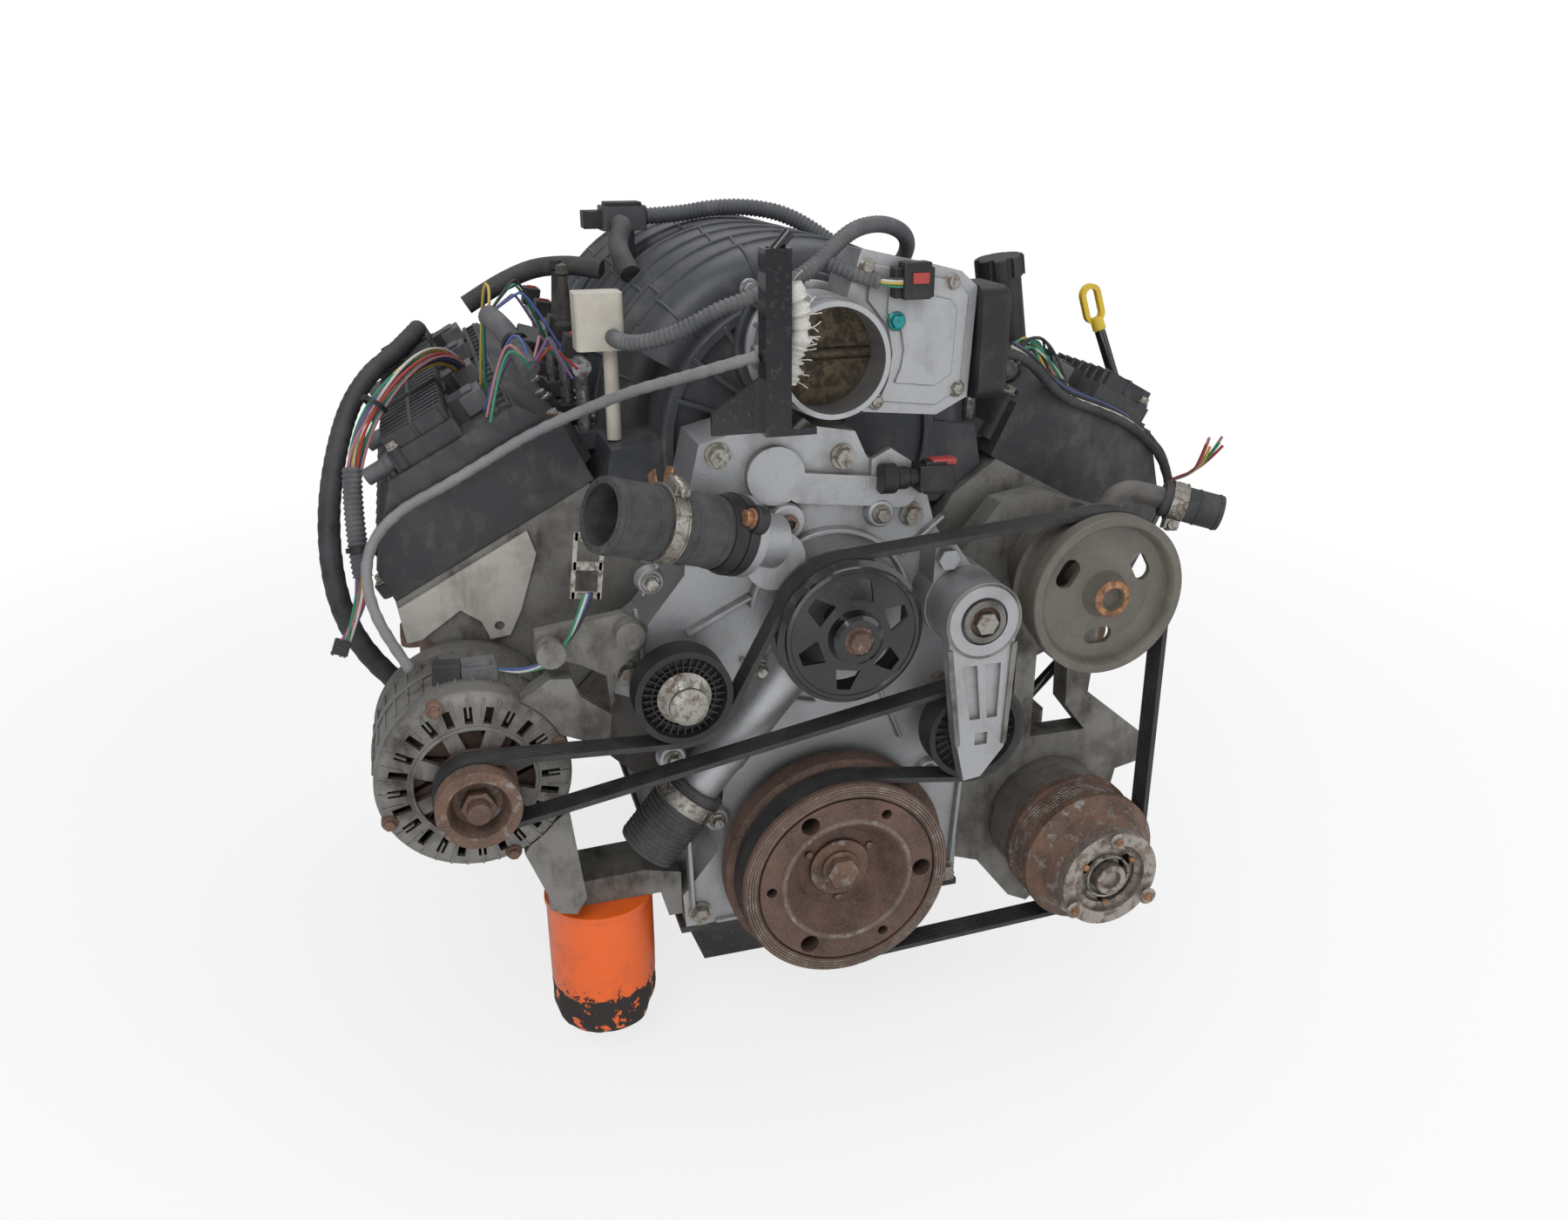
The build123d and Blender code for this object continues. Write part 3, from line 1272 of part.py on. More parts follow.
lower_outer = 25.0
lower_start = 32.0
lower_length = 70.0
steering_hose_start = 36.0
steering_hose_length = 50.0
steering_hose_radius = 15.0
vent_outer = 9.0
vent_routes = [[(-104, -266.4, 500), (-104, -290, 500), (-116, -316, 486), (-110, -350, 464)],
               [(-118, -238, 456.5), (-146, -223, 461), (-180, -210, 458), (-212, -204, 444), (-246, -204, 424)]]
with BuildPart() as hoses:
    with BuildSketch(Plane(origin=neck_start + hose_up * 20, z_dir=hose_up)):
        Circle(hose_outer)
        Circle(hose_inner, mode=Mode.SUBTRACT)
    extrude(amount=neck_length - 20)
    with BuildSketch(Plane(origin=Vector(*leg_end) + hose_down * lower_start, z_dir=hose_down)):
        Circle(lower_outer)
        Circle(pipe_radius + face_gap, mode=Mode.SUBTRACT)
    extrude(amount=lower_length)
    with BuildSketch(Plane(origin=outlet_knee + outlet_way * steering_hose_start, z_dir=outlet_way)):
        Circle(steering_hose_radius)
        Circle(outlet_tube + face_gap, mode=Mode.SUBTRACT)
    extrude(amount=steering_hose_length)
    for points in vent_routes:
        with BuildLine() as vent_path:
            FilletPolyline(*points, radius=eased(points))
        with BuildSketch(Plane(origin=points[0], z_dir=Vector(*points[1]) - Vector(*points[0]))):
            Circle(vent_outer)
        sweep(path=vent_path.line)
    with BuildSketch(facing(manifold_rear)):
        with Locations(barrel_at):
            Circle(runner_ring + runner_radius + face_gap)
    extrude(amount=manifold_rear - manifold_front, mode=Mode.SUBTRACT)
hoses.part.label = "hoses"
export_step(hoses.part, "parts/hoses.step")

clamp_width = 13.0
clamp_wall = 1.5
with BuildPart() as hose_clamps:
    for start, way, radius in ((neck_start + hose_up * 62, hose_up, hose_outer),
                               (Vector(*leg_end) + hose_down * (lower_start + 8), hose_down, lower_outer),
                               (outlet_knee + outlet_way * (steering_hose_start + 6), outlet_way,
                                steering_hose_radius)):
        with BuildSketch(Plane(origin=start, z_dir=way)):
            Circle(radius + face_gap + clamp_wall)
            Circle(radius + face_gap, mode=Mode.SUBTRACT)
        extrude(amount=clamp_width)
hose_clamps.part.label = "hose_clamps"
export_step(hose_clamps.part, "parts/hose_clamps.step")

# Oil filler: neck on the right rocker cover and its quarter-turn cap
filler_y = -385.0
filler_foot = rail_point(1, 150, cover_height + face_gap)
filler_lean = Vector(-0.165, 0, 0.986).normalized()
filler_base = Vector(filler_foot[0], filler_y, filler_foot[1] + 14)
filler_radius = 19.0
filler_bore = 16.0
filler_length = 66.0
cap_radius = 23.0
cap_height = 18.0
with BuildPart() as oil_filler:
    with BuildSketch(Plane(origin=filler_base, z_dir=filler_lean)):
        Circle(filler_radius)
    extrude(amount=filler_length)
    with BuildSketch(rail_plane(1, filler_y, 150, cover_height + face_gap)):
        Circle(27)
    extrude(amount=16)
    with BuildSketch(Plane(origin=filler_base + filler_lean * filler_length, z_dir=-filler_lean)):
        Circle(filler_bore)
    extrude(amount=filler_length - 6, mode=Mode.SUBTRACT)
oil_filler.part.label = "oil_filler"
export_step(oil_filler.part, "parts/oil_filler.step")

cap_base = filler_base + filler_lean * (filler_length + face_gap)
with BuildPart() as oil_cap:
    with BuildSketch(Plane(origin=cap_base, z_dir=filler_lean)):
        Circle(cap_radius)
    extrude(amount=cap_height)
    fillet(oil_cap.faces().sort_by(Axis.Z)[-1].edges(), 2.5)
    with BuildSketch(Plane(origin=cap_base, z_dir=-filler_lean)):
        Circle(filler_bore - running_gap)
        Circle(filler_bore - 3, mode=Mode.SUBTRACT)
    extrude(amount=12)
    with BuildSketch(Plane(origin=cap_base, z_dir=filler_lean)):
        with PolarLocations(cap_radius, 8):
            Circle(3.5)
    extrude(amount=cap_height, mode=Mode.SUBTRACT)
oil_cap.part.label = "oil_cap"
export_step(oil_cap.part, "parts/oil_cap.step")

# Dipstick: pull loop and blade in the straight top of a bent tube down to the block
stick_top = Vector(318, -424, 407)
stick_bend = Vector(350, -440, 315)
stick_way = (stick_top - stick_bend).normalized()
stick_outer = 5.0
stick_bore = 3.4
blade_radius = 2.6
blade_length = 84.0
tube_points = [stick_top, stick_bend, (370, -474, 244), (300, -502, 150), (204, -502, 50), (164, -499, 8),
               (126 + face_gap, -499, 8)]
with BuildPart() as dipstick_tube:
    with BuildLine() as tube_path:
        FilletPolyline(*tube_points, radius=24)
    with BuildSketch(Plane(origin=stick_top, z_dir=-stick_way)):
        Circle(stick_outer)
        Circle(stick_bore, mode=Mode.SUBTRACT)
    sweep(path=tube_path.line)
dipstick_tube.part.label = "dipstick_tube"
export_step(dipstick_tube.part, "parts/dipstick_tube.step")

with BuildPart() as dipstick:
    with BuildSketch(Plane(origin=stick_top + stick_way * 8, z_dir=-stick_way)):
        Circle(blade_radius)
    extrude(amount=blade_length)
    with BuildSketch(Plane(origin=stick_top + stick_way * 1, z_dir=stick_way)):
        Circle(6)
    extrude(amount=12)
    with BuildSketch(Plane(origin=stick_top + stick_way * 26 + Vector(0, 3, 0), x_dir=stick_way, z_dir=(0, -1, 0))):
        SlotCenterToCenter(18, 20)
        SlotCenterToCenter(18, 11, mode=Mode.SUBTRACT)
    extrude(amount=6)
dipstick.part.label = "dipstick"
export_step(dipstick.part, "parts/dipstick.step")

# Square tube stay on the cover's top edge, in front of the throttle body and clear of the duct on its inlet
stay_size = 19.0
stay_at = (-throttle_bore - inlet_wall - 3.0 - stay_size / 2, -617.0)
stay_foot = 378.0 + face_gap
stay_left = stay_at[0] - stay_size / 2
stay_front = stay_at[1] - stay_size / 2
foot_right = -28.0
with BuildPart() as front_stay:
    with BuildSketch(Plane.XY.offset(stay_foot)):
        with Locations(((stay_left + foot_right) / 2, (stay_front + block_front - 8) / 2)):
            Rectangle(foot_right - stay_left, block_front - 8 - stay_front)
    extrude(amount=5)
    with BuildSketch(Plane.XY.offset(stay_foot)):
        with Locations(stay_at):
            Rectangle(stay_size, stay_size)
            Rectangle(stay_size - 5, stay_size - 5, mode=Mode.SUBTRACT)
    extrude(amount=508 - stay_foot)
    with BuildSketch(facing(stay_at[1] + stay_size / 2)):
        Polygon((stay_left, stay_foot + 40), (stay_left, stay_foot), (stay_left - 36, stay_foot),
                (stay_left - 36, stay_foot + 16), align=None)
    extrude(amount=4)
front_stay.part.label = "front_stay"
export_step(front_stay.part, "parts/front_stay.step")

# Pale plate with an ear, bolted to the front of the left head
with BuildPart() as head_plate:
    with BuildSketch(facing(head_span(-1)[1] - face_gap)):
        Polygon((-334, 226), (-228, 282), (-222, 262), (-238, 214), (-248, 194), (-264, 192), (-270, 208),
                (-286, 220), (-318, 198), (-330, 196), align=None)
        with Locations((-256, 203)):
            Circle(4, mode=Mode.SUBTRACT)
    extrude(amount=3)
head_plate.part.label = "head_plate"
export_step(head_plate.part, "parts/head_plate.step")

# Bolts at the front: those of the timing cover, the idler's stud and the tensioner's pivot bolt
with BuildPart() as front_bolts:
    with BuildSketch(beside(*idler_at)):
        Polygon((0, belt_rear + 3), (0, track_front - 12), (5, track_front - 12), (12, track_front - 6),
                (21, track_front), (21, track_front + 1.5), (stud_radius, track_front + 1.5),
                (stud_radius, belt_rear + 3), align=None)
    revolve(axis=along(*idler_at))
    with BuildSketch(facing(track_front - 9)):
        with Locations(idler_at):
            RegularPolygon(9, 6)
    extrude(amount=9)
    with BuildSketch(facing(cover_front)):
        with Locations(*cover_bolts_at):
            Circle(10)
    extrude(amount=2.5)
    with BuildSketch(facing(cover_front - 2.5)):
        with Locations(*cover_bolts_at):
            RegularPolygon(8, 6)
    extrude(amount=8)
    with BuildSketch(facing(arm_rear - arm_thickness + 4)):
        with Locations(tensioner_pivot):
            Circle(17)
    extrude(amount=2)
    with BuildSketch(facing(arm_rear - arm_thickness + 2)):
        with Locations(tensioner_pivot):
            RegularPolygon(9.5, 6)
    extrude(amount=8)
front_bolts.part.label = "front_bolts"
export_step(front_bolts.part, "parts/front_bolts.step")

# Moulded blocks on studs beside the manifold and two boots on the left fuel rail
block_width = 38.0
block_length = 30.0
block_height_range = (421.0, 465.0)
right_block_range = (412.0, 440.0)
boot_ys = (-345.0, -300.0)
stud_foot = manifold_base[-1][1] - 5 + face_gap
with BuildPart() as cover_mounts:
    for x, y, stud_x, (low, high) in ((-159, -470, -150, block_height_range), (170, -413, 152, right_block_range)):
        with BuildSketch(Plane.XY.offset(low)):
            with Locations((x, y)):
                RectangleRounded(block_width, block_length, 5)
        extrude(amount=high - low)
        with BuildSketch(Plane.XY.offset(stud_foot)):
            with Locations((stud_x, y)):
                Circle(6)
        extrude(amount=low - stud_foot)
    for y in boot_ys:
        with BuildSketch(Plane(origin=(-rail_at[0], y, 0), x_dir=(1, 0, 0), z_dir=(0, -1, 0))):
            Polygon((0, rail_at[1] + rail_radius + face_gap), (9, rail_at[1] + rail_radius + face_gap),
                    (9, rail_at[1] + 22), (6.5, rail_at[1] + 26), (4, rail_at[1] + 64), (6, rail_at[1] + 66),
                    (5, rail_at[1] + 73), (0, rail_at[1] + 75), align=None)
        revolve(axis=Axis((-rail_at[0], y, 0), (0, 0, 1)))
cover_mounts.part.label = "cover_mounts"
export_step(cover_mounts.part, "parts/cover_mounts.step")

# Free looms and cables, each with its radius and route
routes = {
    "loom_left": (9.0, [(-293, -120, 391.4), (-307.3, -170, 385.4), (-322, -205, 378), (-341, -240, 370),
                        (-360, -300, 353), (-372, -370, 328), (-380, -425, 296), (-382, -456, 258),
                        (-378, -466, 221), (-366, -470, 188), (-343, -474, 156), (-315, -477, 127.8)]),
    "cable_front": (4.5, [(-67.4, -612, 434), (-96, -604, 425.5), (-116, -574, 414), (-148, -538, 399),
                          (-186, -503, 377), (-222, -492, 360), (-256, -490, 341), (-290, -490, 323),
                          (-322, -492, 309), (-345, -499, 290), (-354, -509, 267), (-352, -520, 243),
                          (-343, -531, 219), (-328, -540, 193)]),
    "conduit_front": (6.5, [(100, -455, 476), (99, -478, 488), (88, -500, 505), (62, -520, 515), (36, -532, 514),
                            (16, -543, 505), (-6, -555, 488), (-33, -561, 475), (-59, -560, 467),
                            (-82, -555, 459), (-102, -549, 447), (-122, -538, 437), (-140, -524, 432),
                            (-150, -507, 432), (-150, -485.3, 432)]),
    "conduit_top": (8.0, [(104, -316, 472), (80, -302, 491), (52, -284, 508), (20, -270, 514), (-14, -258, 513),
                          (-45, -252, 507), (-76.7, -252, 506)]),
    "loom_right": (4.5, [(148.6, -535, 412), (172, -535, 412), (194, -529, 400), (214, -520, 382),
                         (238, -512.9, 364), (272, -512.9, 352), (303, -512.9, 338), (328, -512.9, 319),
                         (344, -512.9, 300), (351, -512.9, 280)]),
}
for name, (radius, points) in routes.items():
    radii = eased(points)
    print(name, [round(r) for r in radii])
    with BuildPart() as cord:
        with BuildLine() as route:
            FilletPolyline(*points, radius=radii)
        with BuildSketch(Plane(origin=points[0], z_dir=Vector(*points[1]) - Vector(*points[0]))):
            Circle(radius)
        sweep(path=route.line)
    cord.part.label = name
    export_step(cord.part, "parts/" + name + ".step")
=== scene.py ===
import json
import math
import random

import bmesh
import bpy
from bpy.props import FloatProperty, FloatVectorProperty, PointerProperty
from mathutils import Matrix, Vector, noise


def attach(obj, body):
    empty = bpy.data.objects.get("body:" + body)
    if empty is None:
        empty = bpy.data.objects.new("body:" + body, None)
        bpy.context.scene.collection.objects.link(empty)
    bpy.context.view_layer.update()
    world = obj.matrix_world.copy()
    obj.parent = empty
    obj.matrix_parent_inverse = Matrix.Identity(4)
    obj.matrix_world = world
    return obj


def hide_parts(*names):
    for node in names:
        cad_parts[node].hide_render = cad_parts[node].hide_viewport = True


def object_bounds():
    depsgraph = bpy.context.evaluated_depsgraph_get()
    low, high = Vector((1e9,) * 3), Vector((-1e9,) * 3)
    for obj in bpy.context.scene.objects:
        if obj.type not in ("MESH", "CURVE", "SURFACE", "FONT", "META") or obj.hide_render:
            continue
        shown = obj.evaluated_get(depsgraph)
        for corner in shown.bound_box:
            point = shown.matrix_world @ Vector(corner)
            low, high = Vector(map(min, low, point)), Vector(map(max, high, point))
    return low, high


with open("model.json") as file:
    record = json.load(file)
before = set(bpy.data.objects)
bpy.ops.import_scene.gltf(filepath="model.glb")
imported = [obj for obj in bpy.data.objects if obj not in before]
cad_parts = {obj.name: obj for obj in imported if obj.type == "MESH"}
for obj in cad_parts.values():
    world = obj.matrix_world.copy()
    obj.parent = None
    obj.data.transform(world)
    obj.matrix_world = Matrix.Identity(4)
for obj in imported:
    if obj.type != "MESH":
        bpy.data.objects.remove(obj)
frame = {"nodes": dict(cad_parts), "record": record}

bl_info = {
    "name": "V8 engine looks",
    "version": (1, 0, 0),
    "blender": (4, 5, 0),
    "location": "View3D > Sidebar > Engine",
    "description": "Finishes, looms, hoses and small parts of a complete V8 engine",
    "category": "Object",
}

NODES = frame["nodes"]
CAD_LOW, CAD_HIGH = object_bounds()
FLOOR = CAD_LOW.z


# Shader maths

class Wire:
    """One output of a shader's nodes, on which Python's operators add Math nodes."""

    def __init__(self, finish, socket):
        self.finish = finish
        self.socket = socket

    def math(self, operation, first, second):
        return self.finish.node("ShaderNodeMath", {"operation": operation}, {0: first, 1: second})

    def __add__(self, other):
        return self.math("ADD", self, other)

    __radd__ = __add__

    def __sub__(self, other):
        return self.math("SUBTRACT", self, other)

    def __rsub__(self, other):
        return self.math("SUBTRACT", other, self)

    def __mul__(self, other):
        return self.math("MULTIPLY", self, other)

    __rmul__ = __mul__

    def __truediv__(self, other):
        return self.math("DIVIDE", self, other)

    def __rtruediv__(self, other):
        return self.math("DIVIDE", other, self)

    def __pow__(self, other):
        return self.math("POWER", self, other)

    def __gt__(self, other):
        return self.math("GREATER_THAN", self, other)


class Finish:
    """One material and the nodes that make it."""

    def __init__(self, name):
        self.material = bpy.data.materials.new(name)
        self.material.use_nodes = True
        self.tree = self.material.node_tree
        self.tree.nodes.clear()
        self.shader = self.tree.nodes.new("ShaderNodeBsdfPrincipled")
        output = self.tree.nodes.new("ShaderNodeOutputMaterial")
        self.tree.links.new(self.shader.outputs["BSDF"], output.inputs["Surface"])
        self.place = self.node("ShaderNodeTexCoord", output="Object")

    def feed(self, socket, value):
        if isinstance(value, Wire):
            self.tree.links.new(value.socket, socket)
        else:
            socket.default_value = value

    def node(self, kind, settings=None, values=None, output=0):
        node = self.tree.nodes.new(kind)
        for key, value in (settings or {}).items():
            if key == "stops":
                ramp = node.color_ramp
                while len(ramp.elements) < len(value):
                    ramp.elements.new(1.0)
                for element, (position, colour) in zip(ramp.elements, value):
                    element.position = position
                    element.color = (*colour, 1.0) if len(colour) == 3 else colour
            else:
                setattr(node, key, value)
        for key, value in (values or {}).items():
            self.feed(node.inputs[key], value)
        return Wire(self, node.outputs[output])

    def set(self, **values):
        for key, value in values.items():
            name = key.replace("_", " ").title().replace("Ior", "IOR")
            if isinstance(value, tuple) and len(value) == 3:
                value = (*value, 1.0)
            self.feed(self.shader.inputs[name], value)

    def noise(self, scale, detail=4.0, rough=0.55, stretch=None):
        place = self.place
        if stretch:
            place = self.node("ShaderNodeVectorMath", {"operation": "MULTIPLY"}, {0: place, 1: stretch})
        return self.node("ShaderNodeTexNoise", None,
                         {"Vector": place, "Scale": scale, "Detail": detail, "Roughness": rough}, "Fac")

    def step(self, value, low, high):
        return self.node("ShaderNodeMapRange", {"clamp": True},
                         {"Value": value, "From Min": low, "From Max": high, "To Min": 0.0, "To Max": 1.0})

    def mix(self, share, first, second):
        first = (*first, 1.0) if isinstance(first, tuple) and len(first) == 3 else first
        second = (*second, 1.0) if isinstance(second, tuple) and len(second) == 3 else second
        return self.node("ShaderNodeMix", {"data_type": "RGBA"}, {0: share, 6: first, 7: second}, 2)

    def crevice(self, distance):
        # How closed in a spot is, from ambient occlusion. A finish that darkens its colour by this paints
        # shade into it.
        open_sky = self.node("ShaderNodeAmbientOcclusion", {"samples": 6}, {"Distance": distance}, "AO")
        return 1 - open_sky

    def bump(self, height, depth, strength=1.0):
        self.set(normal=self.node("ShaderNodeBump", None,
                                  {"Strength": strength, "Distance": depth, "Height": height}))

    def along(self, axis):
        return self.node("ShaderNodeSeparateXYZ", None, {"Vector": self.place}, "XYZ"[axis])


def shade(colour, factor):
    return tuple(min(1.0, c * factor) for c in colour)


def casting(name, colour, soil_and_shade, soiled, rough, metallic):
    """Sand or die cast metal: fine grain, blotches and drips of real soil, and painted shade in the corners,
    drawn in the soil colour.
    """
    f = Finish(name)
    grain = f.noise(1400, 3)
    blotch = f.step(f.noise(22, 6, 0.65), 0.42, 0.66)
    drips = f.step(f.noise(60, 5, 0.6, (1.0, 1.0, 0.3)), 0.5, 0.72)
    # Painted shade: ambient occlusion picks out the corners, which are darkened towards the soil colour.
    corner = f.step(f.crevice(0.022), 0.25, 0.95)
    # This mask holds real soil in blotches and drips, and painted shade in the corners.
    dirt_and_shade = f.step(corner * 0.75 + blotch * soiled + drips * soiled * 0.7, 0.12, 0.95)
    tone = f.mix(grain, shade(colour, 0.86), shade(colour, 1.1))
    # The soil colour paints both the real soil and the painted shade in the corners.
    f.set(base_color=f.mix(dirt_and_shade, tone, soil_and_shade), metallic=metallic * (1 - dirt_and_shade * 0.8),
          roughness=rough + grain * 0.12 + dirt_and_shade * 0.25)
    f.bump(grain + f.noise(260, 4) * 0.8, 0.00035)
    return f.material


def corroded(name, dark, light, bare, bareness, rough=0.78):
    """Rusted iron or steel: dark and light rust in patches, with bare metal showing through, and painted
    shade in the corners.
    """
    f = Finish(name)
    patch = f.noise(34, 8, 0.7)
    fine = f.noise(420, 5, 0.7)
    worn = f.step(f.noise(90, 6, 0.6) + fine * 0.25, 0.98 - bareness, 1.1 - bareness)
    rust = f.mix(f.step(patch, 0.35, 0.68), dark, light)
    rust = f.mix(f.step(fine, 0.45, 0.75) * 0.6, rust, shade(light, 1.35))
    # Painted shade: ambient occlusion darkens the corners towards a very dark rust.
    corner = f.step(f.crevice(0.02), 0.3, 1.0)
    f.set(base_color=f.mix(corner * 0.7, f.mix(worn, rust, bare), shade(dark, 0.4)),
          metallic=worn * 0.75, roughness=rough - worn * 0.3)
    f.bump(fine + patch * 1.5, 0.0006)
    return f.material


def painted(name, colour, dust, dustiness, rough, coat=0.0):
    """Paint with dust on it, thicker where it settles, and fine scuffs."""
    f = Finish(name)
    cloud = f.step(f.noise(26, 6, 0.65), 0.4, 0.75)
    scuff = f.step(f.noise(240, 4, 0.5, (1.0, 0.25, 1.0)), 0.6, 0.72)
    corner = f.step(f.crevice(0.014), 0.3, 0.95)
    share = f.step(cloud * dustiness + corner * dustiness + scuff * dustiness * 0.6, 0.05, 1.3)
    f.set(base_color=f.mix(share, colour, dust), roughness=rough + share * 0.4, coat_weight=coat)
    f.bump(f.noise(500, 3) * 0.4 + scuff, 0.00012)
    return f.material


def moulded(name, colour, dust, dustiness, rough, grain=700.0):
    """Moulded plastic: a fine eroded grain, greyed and dusty on top."""
    f = Finish(name)
    fine = f.noise(grain, 3)
    cloud = f.step(f.noise(15, 6, 0.65), 0.38, 0.72)
    streak = f.step(f.noise(70, 5, 0.6, (1.0, 0.3, 0.6)), 0.5, 0.72)
    corner = f.step(f.crevice(0.02), 0.35, 1.0)
    share = f.step(cloud * dustiness + streak * dustiness * 0.7 + corner * dustiness * 0.5, 0.1, 1.4)
    tone = f.mix(fine, shade(colour, 0.8), shade(colour, 1.25))
    f.set(base_color=f.mix(share, tone, dust), roughness=rough + fine * 0.1 + share * 0.25)
    f.bump(fine, 0.00015)
    return f.material


def plated(name, colour, tarnish, amount, rough):
    """Plated or machined steel with spots of tarnish."""
    f = Finish(name)
    spot = f.step(f.noise(150, 6, 0.7), 0.62 - amount * 0.3, 0.78 - amount * 0.3)
    fine = f.noise(1200, 2)
    f.set(base_color=f.mix(spot, f.mix(fine, shade(colour, 0.8), shade(colour, 1.15)), tarnish),
          metallic=1 - spot * 0.7, roughness=rough + spot * 0.35 + fine * 0.08)
    f.bump(fine + spot * 1.5, 0.0002)
    return f.material


def rubbery(name, colour, bloom, amount, rough=0.62):
    """Black rubber, greyed by bloom and dust."""
    f = Finish(name)
    cloud = f.step(f.noise(30, 6, 0.7), 0.4, 0.7)
    fine = f.noise(600, 4, 0.6)
    f.set(base_color=f.mix(cloud * amount, f.mix(fine, shade(colour, 0.7), shade(colour, 1.4)), bloom),
          roughness=rough + cloud * 0.2)
    f.bump(fine + cloud * 0.5, 0.00025)
    return f.material


def blocks_and_boots(name, pale, dark, dust):
    """Pale moulded blocks at the front, and dark rubber boots behind them."""
    f = Finish(name)
    fine = f.noise(700, 3)
    cloud = f.step(f.noise(28, 6, 0.65), 0.4, 0.72)
    behind = f.step(f.along(1), -0.387, -0.383)
    f.set(base_color=f.mix(cloud * 0.45, f.mix(behind, pale, dark), dust),
          roughness=0.42 + behind * 0.15 + fine * 0.1)
    f.bump(fine, 0.00015)
    return f.material


def ribbed_rubber(name, colour, dust):
    """Belt rubber with lengthwise ribs, dusty between them."""
    f = Finish(name)
    rib = f.node("ShaderNodeMath", {"operation": "SINE"}, {0: f.along(1) * (2 * math.pi / 0.00333)})
    groove = f.step(rib, 0.1, 0.9)
    cloud = f.step(f.noise(40, 6, 0.7), 0.38, 0.7)
    f.set(base_color=f.mix(f.step(cloud * 0.5 + groove * 0.4, 0.1, 1.2), colour, dust),
          roughness=0.5 + cloud * 0.2)
    f.bump(rib * 0.5 + f.noise(700, 3) * 0.2, 0.0006)
    return f.material


def enamelled(name, orange, scraped):
    """Oil filter: orange enamel above, black and scraped through below, scuffed all over."""
    f = Finish(name)
    height = f.along(2)
    ragged = height + f.noise(60, 6, 0.7) * 0.03 - 0.015
    low = 1 - f.step(ragged, -0.112, -0.107)
    chip = f.step(f.noise(150, 6, 0.65), 0.56, 0.6)
    near = 1 - f.step(height, -0.115, -0.078)
    chipped = f.step(low * (1 - f.step(f.noise(85, 5), 0.56, 0.6)) + chip * near * 0.8, 0.4, 0.6)
    grime = f.step(f.noise(45, 6, 0.6), 0.5, 0.8) * 0.3
    f.set(base_color=f.mix(grime, f.mix(chipped, orange, scraped), shade(scraped, 0.6)),
          roughness=0.28 + chipped * 0.35 + grime * 0.4, coat_weight=0.4 * (1 - chipped))
    f.bump(f.noise(90, 6, 0.6) * 1.4 - chipped * 0.5 + f.noise(500, 3) * 0.2, 0.0006)
    return f.material


